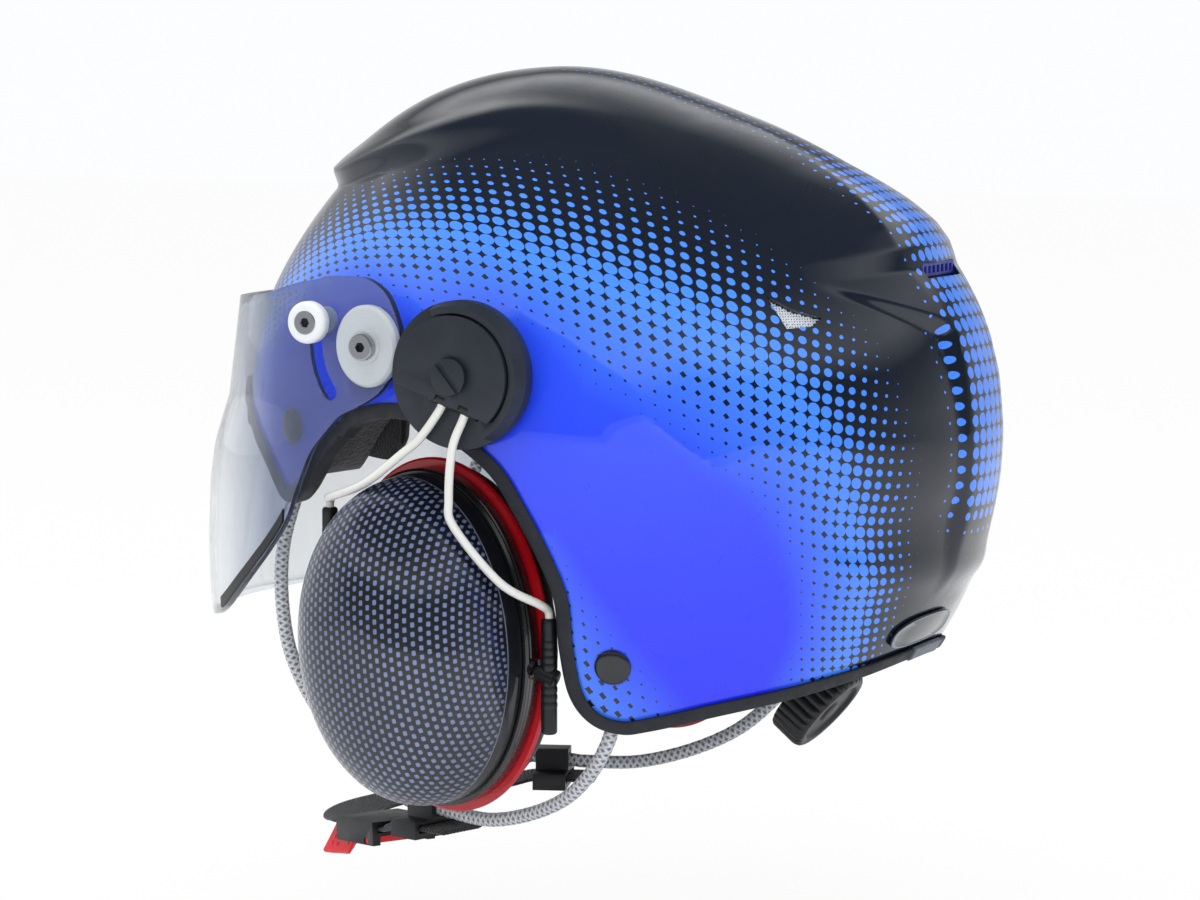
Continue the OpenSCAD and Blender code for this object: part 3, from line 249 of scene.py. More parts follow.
def swept(path, outline, a, b):
    """Rings of a flat outline, (n, 2) or one for each place, set at each point of a path
    (m, 3) along the axes a and b there."""
    return path[:, None] + outline[..., :1] * a[:, None] + outline[..., 1:] * b[:, None]


def carried(path, outline, up):
    """Rings of one flat outline carried along a path, square to it."""
    return swept(path, outline, *frames_of(path, up)[1:])


def tube(name, rings, loop=False):
    """Closed tube through rings of points, (rings, sides, 3) in mm. Sides run
    anticlockwise about the way of travel. U is mm round the widest ring, V mm along."""
    rings = np.asarray(rings, float)
    m, n = rings.shape[:2]
    i, j = np.meshgrid(np.arange(m if loop else m - 1), np.arange(n), indexing="ij")
    r = np.stack([i, i, i + 1, i + 1], -1).reshape(-1, 4)
    c = np.stack([j, j + 1, j + 1, j], -1).reshape(-1, 4)
    centres = rings.mean(1)
    steps = np.linalg.norm(np.diff(np.concatenate([centres, centres[:1]]), axis=0), axis=1)
    along = np.concatenate([[0.0], np.cumsum(steps)])
    sides = np.linalg.norm(np.roll(rings, -1, axis=1) - rings, axis=2)
    widest = sides[np.argmax(sides.sum(1))]
    about = np.concatenate([[0.0], np.cumsum(widest)])
    uvs = np.stack([about[c], along[r]], -1).reshape(-1, 2)
    points, faces = rings.reshape(-1, 3), [(r % m) * n + c % n]
    if not loop:
        points = np.concatenate([points, centres[:1], centres[-1:]])
        j = np.arange(n)
        near = np.stack([np.full(n, m * n), (j + 1) % n, j], -1)
        far = np.stack([np.full(n, m * n + 1), (m - 1) * n + j, (m - 1) * n + (j + 1) % n], -1)
        faces += [near, far]
        uvs = np.concatenate([uvs, np.zeros((6 * n, 2))])
    return solid(name, points, faces, uvs)


def turned(name, profile, origin, ex, ey, ez, sides=48):
    """Body turned about the last axis, from pairs of height and radius."""
    spoke = ring_of(1.0, sides) @ np.stack([ex, ey])
    return tube(name, origin + profile[:, :1, None] * ez + profile[:, 1:, None] * spoke)


def prism(name, outline, origin, ex, ey, ez, z0, z1):
    """Closed prism over a flat outline that runs anticlockwise, in the given axes."""
    flat = origin + outline[:, :1] * ex + outline[:, 1:] * ey
    return tube(name, np.stack([flat + z0 * ez, flat + z1 * ez]))


def box(x0, x1, y0, y1):
    """Outline of a rectangle."""
    return np.array([[x0, y0], [x1, y0], [x1, y1], [x0, y1]], float)


print("curve helpers ready")

# %% [markdown]
# ## Whole pieces
# A piece can be mirrored, joined to others, cut by closed tools and eased at its edges.
# A finished piece rides on its body and stands for the CAD node that it replaces.

# %% Whole pieces
def mirrored(piece, name):
    """The same piece on the wearer's other side: X changes sign, faces turn over."""
    mesh = piece.data.copy()
    mesh.name = name
    points = numbers(mesh.vertices, "co") * [-1, 1, 1]
    mesh.vertices.foreach_set("co", points.astype(np.float32).ravel())
    mesh.flip_normals()
    mesh.update()
    return linked(name, mesh)


def gathered(name, pieces):
    """Several meshes put into one piece, each keeping its own material."""
    whole, mesh = bmesh.new(), bpy.data.meshes.new(name)
    for piece in pieces:
        shift = len(mesh.materials)
        for m in piece.data.materials:
            mesh.materials.append(m)
        before = len(whole.faces)
        whole.from_mesh(piece.data)
        whole.faces.ensure_lookup_table()
        for face in whole.faces[before:]:
            face.material_index += shift
        bpy.data.objects.remove(piece)
    whole.to_mesh(mesh)
    whole.free()
    return linked(name, mesh)


def pair(name, piece):
    """A piece and its mirror image as one."""
    return gathered(name, [piece, mirrored(piece, name + "_twin")])


def applied(piece):
    """Puts what the modifiers made into the mesh itself."""
    graph = bpy.context.evaluated_depsgraph_get()
    ready = bpy.data.meshes.new_from_object(piece.evaluated_get(graph), preserve_all_data_layers=True,
                                            depsgraph=graph)
    piece.modifiers.clear()
    piece.data = ready
    return piece


def cut(piece, *tools):
    """Cuts closed tools out of a piece with exact Booleans, and removes the tools."""
    for tool in tools:
        step = piece.modifiers.new("cut", "BOOLEAN")
        step.operation, step.solver, step.object = "DIFFERENCE", "EXACT", tool
    applied(piece)
    for tool in tools:
        bpy.data.objects.remove(tool)
    smooth(piece.data)
    return piece


def eased(piece, width, corner):
    """Bevels the edges that are sharper than the corner angle, by a width in mm."""
    step = piece.modifiers.new("ease", "BEVEL")
    step.width, step.segments, step.limit_method = width * MM, 2, "ANGLE"
    step.angle_limit = np.radians(corner)
    return applied(piece)


def finished(node, width):
    """A copy of a CAD node with its triangles merged back into flats, and its edges
    eased by a small bevel, as moulded and machined parts have."""
    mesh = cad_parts[node].data.copy()
    mesh.name = node + "_eased"
    mesh.materials.clear()
    work = bmesh.new()
    work.from_mesh(mesh)
    bmesh.ops.remove_doubles(work, verts=work.verts, dist=2e-6)
    bmesh.ops.dissolve_limit(work, angle_limit=np.radians(0.8), verts=work.verts, edges=work.edges)
    work.to_mesh(mesh)
    work.free()
    piece = linked(node + "_eased", mesh)
    if width:
        eased(piece, width, 30)
    smooth(piece.data)
    return piece


def place(piece, body, slot, *nodes):
    """Rides a finished piece on its body and hides the CAD nodes it stands for. The slot is not used."""
    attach(piece, body)
    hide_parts(*nodes)
    return piece


print("piece helpers ready")

# %% [markdown]
# ## The form of the helmet
# The shell is one smooth surface given by two angles: the bearing t round the head and
# the height angle q up to the crown. A stretched ball gives its bulk. The same formulas
# made the CAD solid, so everything that sits on the shell fits here too.

# %% Form of the shell
HALF_L, HALF_W, WALL = 134.5, 108.0, 3.5
CROWN, SIDE_DROP, BACK_DROP = 114.0, 190.0, 128.0
LEVEL_Z, LEVEL_SLOPE, CROWN_BACK = -4.0, 0.05, 12.0
BROW_FLAT, NAPE_FLAT = 0.075, 0.02


def rise(t, up):
    """Half height of the ball above (up > 0) or below its level, at bearing t."""
    back = np.clip(-np.cos(t), 0, None)
    return np.where(up > 0, CROWN, mix(SIDE_DROP, BACK_DROP, back**2))


def centre_y(q):
    """Middle of the ball fore and aft, which moves back towards the crown."""
    return -CROWN_BACK * np.clip(np.sin(q), 0, None)**2


def flatten(t, q):
    """Share by which brow and nape are drawn in."""
    brow = np.clip(np.cos(t), 0, None) * np.sin(2 * np.clip(q, 0, None))**2
    return 1 - BROW_FLAT * brow - NAPE_FLAT * np.clip(-np.cos(t), 0, None)


def form(t, q, off=0.0):
    """Point of the plain ball for bearing t and height angle q, in degrees: an
    ellipsoid's cosines and sines, with its middle and length changing with height."""
    t, q = np.radians(t), np.radians(q)
    y = centre_y(q) - (HALF_L + off) * flatten(t, q) * np.cos(q) * np.cos(t)
    return np.stack([(HALF_W + off) * np.cos(q) * np.sin(t), y,
                     LEVEL_Z - LEVEL_SLOPE * y + (rise(t, q) + off) * np.sin(q)], -1)


def form_normal(t, q):
    """Outward direction there: each coordinate over its half axis squared."""
    p, tr, qr = form(t, q), np.radians(t), np.radians(q)
    return unit(np.stack([p[..., 0] / HALF_W**2, (p[..., 1] - centre_y(qr)) / HALF_L**2,
                          (p[..., 2] - LEVEL_Z + LEVEL_SLOPE * p[..., 1]) / rise(tr, qr)**2], -1))


print("the ball is", 2 * HALF_L, "mm long and", 2 * HALF_W, "mm wide")

# %% [markdown]
# ## Reliefs of the shell
# Four reliefs stand proud of the ball along its normal: the hood over the brow, the ridge
# down the back, a crease on each side and a collar over the nape. Each is a height in mm
# at a point of the ball, built from smooth steps, so they blend where they meet.

# %% Reliefs
HOOD_H, HOOD_W, HOOD_LONG, HOOD_SIDE, HOOD_ROUND = 4.2, 57.0, 51.0, 45.0, 2.6
HOOD_TAPER, LIP_H, LIP_W, FALL_LONG, FALL_LESS = 11, 1.4, 7, 12, 9.4


def hood(p):
    """Hood over the brow: full height inside its outline with a raised lip, and a fall
    beside it that is short at the lip and long at the temples. In front the outline is
    where (x/W)^2.6 + (y/L)^2.6 = 1."""
    x, y, z = np.abs(p[..., 0]), p[..., 1], p[..., 2]
    ahead = np.clip(-HOOD_SIDE - y, 0, None)
    level = ((x / HOOD_W)**HOOD_ROUND + (ahead / HOOD_LONG)**HOOD_ROUND)**(1 / HOOD_ROUND)
    beside = HOOD_W - HOOD_TAPER * ease(-HOOD_SIDE, 25, y) - x
    d = np.where(y > -HOOD_SIDE, beside, (1 - level) * HOOD_W)
    reach = FALL_LONG - FALL_LESS * ease(-30, -75, y)
    top = HOOD_H + LIP_H * bell(np.clip(d, 0, None), 0, LIP_W)
    fall = (HOOD_H + LIP_H) * (1 - ease(0, 1, -d / reach))
    return np.where(d > 0, top, fall) * (1 - ease(-25, 38, y)) * ease(40, 60, z)


SPINE_HIGH = 8.2
SPINE_Z = [-60, -40, 0, 27, 46, 52, 58, 66, 80, 98]
SPINE_H = [0, 0.24, 0.37, 0.67, 0.63, 0.93, 1, 0.83, 0.39, 0.04]
SPINE_WZ, SPINE_W = [27, 46, 52, 58, 66, 80, 98], [14, 22, 23, 22, 19, 12, 6]
FACET_X, FACET_Z, FACET_CLIMB, FACET_LONG, SPINE_EDGE = 14, 27, 0.43, 34, 5


def spine(p):
    """Ridge down the back, with a facet beside it above a line that climbs outwards."""
    x, y, z = np.abs(p[..., 0]), p[..., 1], p[..., 2]
    h, w = SPINE_HIGH * np.interp(z, SPINE_Z, SPINE_H), np.interp(z, SPINE_WZ, SPINE_W)
    above = ease(-1.5, 2.5, z - FACET_Z - (x - FACET_X) * FACET_CLIMB)
    ramp = np.clip(1 - (x - w) / FACET_LONG, 0, 1)**1.15
    edge = 1 - ease(0, SPINE_EDGE, x - w)
    return h * ease(20, 45, y) * np.where(x < w, 1, mix(edge, ramp, above))


CREASE_Y, CREASE_HIGH, CREASE_STEEP, CREASE_WIDE = [9, 27, 44, 55, 78, 93, 104, 115], 1.5, 0.75, 16
CREASE_Z = [38, 29, 17, 6, -20, -36, -47, -57]
CREASE_AY, CREASE_A = [9, 27, 55, 78, 93, 104, 115], [0.9, 1, 0.8, 0.4, 0.8, 1, 0]


def crease(p):
    """Soft crease from the ear to the back of the cheek, highest along its line."""
    y, z = p[..., 1], p[..., 2]
    beyond = np.abs(z - np.interp(y, CREASE_Y, CREASE_Z)) * CREASE_STEEP
    near = np.clip(1 - beyond / CREASE_WIDE, 0, None)
    return CREASE_HIGH * np.interp(y, CREASE_AY, CREASE_A) * ease(2, 12, y) * near**1.6


COLLAR_Z, COLLAR_HIGH, SCOOP_DEEP = -50, 1.6, 1.8


def collar(p):
    """Rolled lip over the nape with a scoop above it: two bell curves of height."""
    x, y, s = np.abs(p[..., 0]), p[..., 1], p[..., 2] - COLLAR_Z
    scoop = SCOOP_DEEP * bell(s, 17, 9) * ease(13, 17, x)
    return ease(85, 118, y) * (COLLAR_HIGH * bell(s, 0, 6) - scoop)


def shell_at(t, q, off=0.0):
    """Point of the shell's outside, with all reliefs, and off mm beyond it."""
    p = form(t, q)
    return p + form_normal(t, q) * (hood(p) + spine(p) + crease(p) + collar(p) + off)[..., None]


print("hood", HOOD_H + LIP_H, "mm, ridge", SPINE_HIGH, "mm, crease", CREASE_HIGH, "mm high")

# %% [markdown]
# ## The rim
# The rim climbs over the brow, drops at the temple behind the visor, arches over the
# ear cup and runs level round the nape. It is given by a short list of bearings and
# heights, and a curve through them.

# %% Rim of the shell
RIM = np.array([[0, 5], [12, 5], [22, 4], [30, -2.5], [38, -11.5], [44, -20.5], [49, -29],
                [54, -25], [60.5, -11.5], [67, -0.5], [75, 3.5], [83, -0.7], [91, -12.5],
                [95.3, -27], [98.8, -42.5], [100.9, -55.5], [101.4, -72], [102.6, -87],
                [105.5, -95.3], [110, -98.5], [115, -97.2], [126.7, -92.2], [141.8, -87.2],
                [153.2, -83.8], [167.7, -80.3], [180, -79]])
RIM_LAST = len(RIM) - 1


def rim_key(i):
    """Rim station i, mirrored past the brow and past the nape."""
    k = np.where(i > RIM_LAST, 2 * RIM_LAST - i, np.abs(i))
    t = np.where(i < 0, -RIM[k, 0], np.where(i > RIM_LAST, 360 - RIM[k, 0], RIM[k, 0]))
    return np.stack([t, RIM[k, 1]], -1)


def rim_at(s):
    """Bearing and height of the rim at place s, 0 at the brow, RIM_LAST at the nape."""
    whole = np.floor(s).astype(int)
    f = (s - whole)[..., None]
    return cubic(*(rim_key(whole + k) for k in (-1, 0, 1, 2)), f)


def height_angle(t, z):
    """Height angle at which the form passes height z at bearing t, by repetition."""
    q = np.zeros_like(t)
    for _ in range(6):
        gap = z - (LEVEL_Z - LEVEL_SLOPE * form(t, q)[..., 1])
        q = np.degrees(np.arcsin(np.clip(gap / rise(np.radians(t), z - LEVEL_Z), -1, 1)))
    return q


def rim_dir(s):
    """Bearing and height angle of the rim at place s, all the way round."""
    s = np.mod(s, 2 * RIM_LAST)
    far = s > RIM_LAST
    r = rim_at(np.where(far, 2 * RIM_LAST - s, s))
    q = height_angle(r[..., 0], r[..., 1])
    return np.where(far, 360 - r[..., 0], r[..., 0]), q


def direction_of(p, t):
    """Bearing and height angle of points p near the form, from a guess of t."""
    for _ in range(6):
        gap = p[..., 2] - LEVEL_Z + LEVEL_SLOPE * p[..., 1]
        q = np.arcsin(np.clip(gap / rise(np.radians(t), gap), -1, 1))
        a = np.degrees(np.arctan2(p[..., 0] / HALF_W, (centre_y(q) - p[..., 1])
                                  / (HALF_L * flatten(np.radians(t), q))))
        t = np.where(a < t - 180, a + 360, a)
    return t, np.degrees(q)


def inset_dir(s, inset=6.0):
    """Direction a short way in from the rim, square to it."""
    t, q = rim_dir(s)
    along = unit(form(*rim_dir(s + 0.5)) - form(*rim_dir(s - 0.5)))
    return direction_of(form(t, q) + inset * np.cross(form_normal(t, q), along), t)


def net(cols, shares, edge_rows=0):
    """Directions of a net over the head: cols places round the rim, rows at shares of
    the way from the inset ring to the crown, and edge_rows between rim and inset."""
    s = np.arange(cols) * 2 * RIM_LAST / cols
    t0, q0 = rim_dir(s)
    t1, q1 = inset_dir(s)
    k = np.linspace(0, 1, edge_rows + 1)[:-1, None] if edge_rows else np.zeros((0, 1))
    h = np.asarray(shares)[:, None]
    b = ease(0, 0.55, h)
    t = np.concatenate([mix(t0, t1, k), mix(t1, 360 * np.arange(cols) / cols, b)])
    return t, np.concatenate([mix(q0, q1, k), mix(q1, 90, h)])


print("rim runs", round(length_of(form(*rim_dir(np.linspace(0, 2 * RIM_LAST, 400))))), "mm")

# %% [markdown]
# ## Stations on the sides
# The visor pivot, the guide knob, the muff mount and the strap rivets all sit on the
# form, so each is worked out from a height and a fore-and-aft place on it.

# %% Stations
def on_side(y, z):
    """Direction of the form's place with the given y and z, on the wearer's left."""
    t, y, z = np.array(90.0), np.asarray(y, float), np.asarray(z, float)
    for _ in range(9):
        gap = z - LEVEL_Z + LEVEL_SLOPE * y
        q = np.arcsin(np.clip(gap / rise(np.radians(t), gap), -1, 1))
        c = (centre_y(q) - y) / (HALF_L * flatten(np.radians(t), q) * np.cos(q))
        last, t = t, np.degrees(np.arccos(np.clip(c, -1, 1)))
    return last, np.degrees(q)


PIVOT_Y, PIVOT_Z = -42.0, 25.0
PIVOT_X = float(form(*on_side(PIVOT_Y, PIVOT_Z))[0])
MOUNT_Y, MOUNT_Z = -5.0, 17.5
MOUNT_X = float(form(*on_side(MOUNT_Y, MOUNT_Z))[0])
PLATE_OFF, MOUNT_T, ROTOR_T, ROTOR_GAP = 7.0, 5.2, 4.8, 0.2
PLATE_X, ROTOR_X = PIVOT_X + PLATE_OFF, MOUNT_X + MOUNT_T + ROTOR_T + ROTOR_GAP
FRONT_RIVET, REAR_RIVET = on_side(-81.9, -4.5), on_side(39.4, -77.1)
FRONT_AIM, REAR_AIM = np.array([70.2, -87.6, -24.0]), np.array([80.9, 33.6, -98.0])
ANCHOR_DEEP, FERRULE_L = WALL + 4.6, 12.0


def anchor_at(d):
    """Where a cord is held, inside the shell behind its rivet."""
    return form(*d) - ANCHOR_DEEP * form_normal(*d)


def ferrule_end(d, aim):
    """Where a cord leaves its ferrule: a fixed length from the anchor towards the aim."""
    return anchor_at(d) + FERRULE_L * unit(aim - anchor_at(d))


print("pivot x", round(PIVOT_X, 3), "mount x", round(MOUNT_X, 3))

# %% [markdown]
# ## Finishes
# A finish is a node material round one Principled shader. Two small classes keep the
# wiring short: one adds nodes and joins sockets in any tree, the other has ready names
# for the noise, the blends and the bumps that most surfaces here are made of.

# %% Finish helper
def paint(r, g, b):
    """A screen colour, 0 to 255, as the linear colour that a shader takes."""
    c = np.array([r, g, b], float) / 255
    return (*np.where(c < 0.04045, c / 12.92, ((c + 0.055) / 1.055)**2.4).tolist(), 1.0)


class Wiring:
    """Nodes of a world or a material, added and joined in short calls."""

    def __init__(self, owner):
        owner.use_nodes = True
        self.tree = owner.node_tree

    def put(self, node, key, value):
        """Sets a socket, or joins another node's output to it."""
        socket = node.inputs[key] if isinstance(key, (int, str)) else key
        if isinstance(value, bpy.types.NodeSocket):
            self.tree.links.new(value, socket)
        else:
            socket.default_value = value

    def add(self, kind, inputs=(), **facts):
        """A new node with these inputs and settings."""
        node = self.tree.nodes.new("ShaderNode" + kind)
        for key, value in facts.items():
            setattr(node, key, value)
        for key, value in dict(inputs).items():
            self.put(node, key, value)
        return node

    def do(self, operation, a, b=0.0, c=0.0):
        """One sum on numbers."""
        return self.add("Math", {0: a, 1: b, 2: c}, operation=operation).outputs[0]

    def off_middle(self, value):
        """How far a number is from the middle of its whole step: |fraction - 1/2|."""
        return self.do("ABSOLUTE", self.do("SUBTRACT", self.do("FRACT", value), 0.5))

    def parts(self, vector):
        """The three numbers of a vector."""
        return self.add("SeparateXYZ", {0: vector}).outputs

    def span(self, value, a, b, c=0.0, d=1.0):
        """Value from a to b laid onto c to d, and held there."""
        return self.add("MapRange", {"Value": value, "From Min": a, "From Max": b,
                                     "To Min": c, "To Max": d}).outputs["Result"]

    def blend(self, share, a, b, kind="RGBA"):
        """Colour, or number, at a share of the way from a to b."""
        node = self.add("Mix", data_type=kind)
        for key, value in (("Factor", share), ("A", a), ("B", b)):
            self.put(node, [s for s in node.inputs if s.name == key and s.enabled][0], value)
        return [s for s in node.outputs if s.enabled][0]

    def end(self, shader):
        """Makes a shader the one that the material shows."""
        self.put(self.tree.nodes["Material Output"], "Surface", shader.outputs[0])


class Finish(Wiring):
    """A material round one Principled shader."""

    def __init__(self, name, colour, rough, **more):
        self.mat = bpy.data.materials.new(name)
        super().__init__(self.mat)
        self.shader = self.tree.nodes["Principled BSDF"]
        self.colour(colour)
        self.rough(rough)
        for key, value in more.items():
            self.put(self.shader, key.replace("_", " "), value)

    def place(self):
        """Object coordinates, in metres."""
        return self.add("TexCoord").outputs["Object"]

    def cloth(self, name="cloth"):
        """The piece's own UV map, in millimetres."""
        return self.add("UVMap", uv_map=name).outputs["UV"]

    def noted(self, name):
        """The three numbers that note() kept with the mesh."""
        return self.parts(self.add("Attribute", attribute_name=name).outputs["Vector"])

    def noise(self, scale, detail=2.0, rough=0.5, at=None):
        """Cloudy pattern, between 0 and 1, with so many waves in a metre."""
        return self.add("TexNoise", {"Vector": self.place() if at is None else at, "Scale": scale,
                                     "Detail": detail, "Roughness": rough}).outputs["Fac"]

    def cells(self, scale):
        """Distance to the nearest of many scattered points."""
        return self.add("TexVoronoi", {"Vector": self.place(), "Scale": scale}).outputs["Distance"]

    def colour(self, value):
        self.put(self.shader, "Base Color", value)

    def tones(self, pattern, dark, light, low=0.0, high=1.0):
        """Colours the piece from dark to light, as a pattern runs from low to high."""
        share = pattern if (low, high) == (0.0, 1.0) else self.span(pattern, low, high)
        self.colour(self.blend(share, dark, light))

    def rough(self, value):
        self.put(self.shader, "Roughness", value)

    def bump(self, height, deep, strength=1.0):
        """Relief of the given depth in mm."""
        node = self.add("Bump", {"Height": height, "Distance": deep * MM, "Strength": strength})
        self.put(self.shader, "Normal", node.outputs["Normal"])

    def wear(self, a, b, scale):
        """Drives roughness between a and b by a slow noise."""
        self.rough(self.span(self.noise(scale, 4.0, 0.6), 0.35, 0.65, a, b))


def dress(piece, finish):
    """Gives a piece one finish all over."""
    piece.data.materials.clear()
    piece.data.materials.append(finish.mat)
    return piece


def on_both(name, piece, body, slot, node, finish=None):
    """Places a left piece and its mirror image on the same body of either side."""
    other = mirrored(piece, "right_" + name)
    piece.name = "left_" + name
    for side, one in (("left", piece), ("right", other)):
        place(one, side + "_" + body, slot, side + "_" + node)
        if finish:
            dress(one, finish)
    return piece, other


print("finish helper ready")

# %% [markdown]
# ## Strap cords
# On each side one braided cord leaves the front ferrule, passes under the jaw through
# the slide of the chin webbing and climbs to the rear ferrule. It is held at three
# places and hangs between them. A tube along its route is made directly; the braid is
# both in its surface, as crossing strands, and in its finish.

# %% Strap cords
CORD_D = 4.8
SLIDE_A, SLIDE_B = np.array([46.0, -62.0, -136.5]), np.array([53.0, -40.0, -138.5])
slide_way = unit(SLIDE_B - SLIDE_A)
slide_mid = (SLIDE_A + SLIDE_B) / 2
front_end, rear_end = ferrule_end(FRONT_RIVET, FRONT_AIM), ferrule_end(REAR_RIVET, REAR_AIM)
CORD_ROUTE = np.array([
    front_end, (front_end + FRONT_AIM) / 2, FRONT_AIM, [69.2, -93, -36], [68.4, -97, -50],
    [65.5, -99, -68], [61, -98, -87], [54, -92, -106], [47, -82, -122], SLIDE_A,
    SLIDE_A + 4 * slide_way, SLIDE_B - 4 * slide_way, SLIDE_B, [60, -22.3, -138.5],
    [66, -4.3, -134], [72, 11.6, -126.5], [77, 23.1, -116.5], [80, 30, -107], REAR_AIM,
    (rear_end + REAR_AIM) / 2, rear_end])
BRAID_PITCH, BRAID_STRANDS, BRAID_DEEP, UNDER_STRAND = 9.0, 4, 0.28, 0.85
CORD_SIDES, CORD_STEP = 28, 0.8


def braided(name, route, diameter):
    """Tube whose radius swells over two sets of strands winding opposite ways:
    r = R - d + d * the larger of two rectified sines of angle and length."""
    path = evenly(curve_through(route, 14), CORD_STEP)
    g = turns(CORD_SIDES)
    run = np.arange(len(path))[:, None] * CORD_STEP / BRAID_PITCH * 2 * np.pi
    one, two = (np.abs(np.sin(BRAID_STRANDS * g + wound)) for wound in (run, -run))
    r = diameter / 2 - BRAID_DEEP * (1 - np.maximum(one, UNDER_STRAND * two))
    return tube(name, carried(path, r[..., None] * around(g), X)), path


left_cord, cord_path = braided("left_cord", CORD_ROUTE, CORD_D)
right_cord = mirrored(left_cord, "right_cord")
for piece, side in ((left_cord, 1), (right_cord, -1)):
    line = cord_path * [side, 1, 1] * MM
    name = "left" if side > 0 else "right"
    place(piece, "helmet", "cord_silver", name + "_strap_cord")

# %% [markdown]
# ## Braid finish
# The cord is woven from bright grey yarn. Its UV map runs round and along it in
# millimetres, so two sets of slanted waves draw the yarns, and a fine noise keeps one
# yarn from looking like the next. A faint sheen stands for the loose fibres.

# %% Braid finish
YARN_ROUND, YARN_ALONG = 1.6, 2.6
braid = Finish("braid", paint(196, 200, 206), 0.55, Sheen_Weight=0.35, Sheen_Roughness=0.4)
run = braid.parts(braid.cloth())
along = braid.do("MULTIPLY", run[1], YARN_ALONG)
one, two = (braid.do("SINE", braid.do("MULTIPLY_ADD", run[0], slant, along))
            for slant in (YARN_ROUND, -YARN_ROUND))
yarn = braid.do("MAXIMUM", one, two)
fleck = braid.noise(900.0, 3.0, 0.6)
tone = braid.blend(braid.span(yarn, -0.6, 0.9), paint(92, 98, 108), paint(226, 229, 233))
braid.colour(braid.blend(braid.span(fleck, 0.35, 0.7, 0, 0.55), tone, paint(150, 155, 164)))
braid.bump(braid.do("ADD", yarn, braid.do("MULTIPLY", fleck, 0.5)), 0.18, 0.8)
for piece in (left_cord, right_cord):
    dress(piece, braid)
print("braid:", len(braid.tree.nodes), "nodes")

# %% [markdown]
# ## Shell
# The shell is a thin moulding, so it is one closed surface: up the inside to the
# crown, round the rim and over the outside. The net of points is fine enough that the
# hood's lip and the back ridge keep crisp highlights. The two side vents and the slot
# under the ridge are cut through it.

# %% Shell surface
SHELL_COLS, SHELL_ROWS = 520, 166
LIP_SHARE, LIP_SPREAD, LIP_DENSER = 0.43, 0.1, 2.4
fine = np.linspace(0, 1, 2001)
crowding = np.cumsum(1 + LIP_DENSER * bell(fine, LIP_SHARE, LIP_SPREAD))
crowding = (crowding - crowding[0]) / (crowding[-1] - crowding[0])
OUTER_SHARES = np.interp(np.linspace(0, 1, SHELL_ROWS), crowding, fine)[:-1]
INNER_SHARES = np.array([0, 0.04, 0.1, 0.18, 0.3, 0.43, 0.58, 0.74, 0.89, 0.985])


def axes_on(d):
    """Origin and axes of a place on the form: the last axis leaves it at right angles."""
    n = form_normal(*d)
    level = np.hypot(n[0], n[1])
    ex = np.array([n[2] * n[0] / level, n[2] * n[1] / level, -level])
    return form(*d), ex, np.array([-n[1] / level, n[0] / level, 0.0]), n


VENT = (np.array(139.0), np.array(22.5))
WINDOW = np.array([[-8, -8.6], [3.3, -3.5], [2.6, 5.3], [-0.4, 9.3], [-3, 0.1]])
SLOT_Z, SLOT_H, SLOT_HALF = 46.0, 5.0, 15.0
t_out, q_out = net(SHELL_COLS, OUTER_SHARES, edge_rows=4)
t_in, q_in = net(SHELL_COLS, INNER_SHARES, edge_rows=1)
shell_rings = np.concatenate([form(t_in, q_in, -WALL)[::-1], shell_at(t_out, q_out)])
shell = tube("shell", shell_rings)
vent_left = prism("vent_left", WINDOW, *axes_on(VENT), -9, 12)
vent_right = mirrored(vent_left, "vent_right")
slot_cut = prism("slot_cut", box(-SLOT_HALF, SLOT_HALF, 88, 148), np.zeros(3), X, Y, Z,
                 SLOT_Z, SLOT_Z + SLOT_H)
cut(shell, vent_left, vent_right, slot_cut)
place(shell, "helmet", "shell_blue", "outer_shell")
print("shell:", len(shell.data.vertices), "points")

# %% [markdown]
# ## The halftone print
# The print is a sheet of dots laid over each side: blue dots on black that grow until
# they touch, then black diamonds on blue that shrink away. It needs two things at every
# point of the shell: where the point lies on the printed sheet, and how blue it is. The
# sheet is unrolled from the ear outwards, so dots stay round on the sides; a second
# narrow strip runs over the crown and down the ridge.

# %% Halftone sheet
SHEET_R = 118.0
ACROSS = [24.5, 2.83, 0.56, -4.84, 2.92, -0.82, 0.15, -1.52, 0.29]
DOWN = [-7.99, -24.43, -3.37, 5.17, -0.13, 2.89, -0.41, 1.05, -0.41]
STRIP_PITCH, STRIP_PER_DEGREE = [5.2, 4.6], 2
TONE_CENTRE = np.array([10.0, -40.0])
TONE_AT = [-180, -60, -21, -4, 14, 32, 49, 71, 89, 98, 113, 124, 140, 180]
TONE_NONE = [124, 124, 127, 131, 137, 144, 142, 144, 149, 151, 155, 167, 182, 190]
TONE_TOUCH = [107, 107, 107, 104, 103, 102, 102, 101, 103, 111, 122, 131, 142, 150]
TONE_FULL = [81, 81, 81, 76, 70, 60, 58, 59, 77, 80, 85, 109, 122, 130]
CORNER_A, CORNER_B = np.array([29.0, -42.0]), np.array([45.0, -73.0])
CORNER_FADE, CORNER_LESS, CORNER_TOP = 26.0, 0.42, CORNER_A[1] + 12


def sheet_place(p):
    """Place on the side sheet: the angle from the ear's axis times a radius, along the
    same bearing. Both sides share it, mirrored."""
    d = unit(np.stack([np.abs(p[:, 0]) / HALF_W, p[:, 1] / HALF_L, (p[:, 2] - LEVEL_Z) / CROWN], -1))
    angle = np.arccos(np.clip(d[:, 0], -1, 1))
    flat = unit(d[:, 1:] + 1e-9)
    return SHEET_R * angle[:, None] * flat


def dot_places(sheet):
    """Row and column of the print's dots, as cubics of the place on the sheet: the sheet
    was stretched as it was laid on, so its rows bend."""
    u, v = sheet[:, 0] / 100, sheet[:, 1] / 100
    terms = np.stack([u, v, u * u, u * v, v * v, u**3, u * u * v, u * v * v, v**3])
    return np.stack([ACROSS @ terms, DOWN @ terms], -1) + 0.5


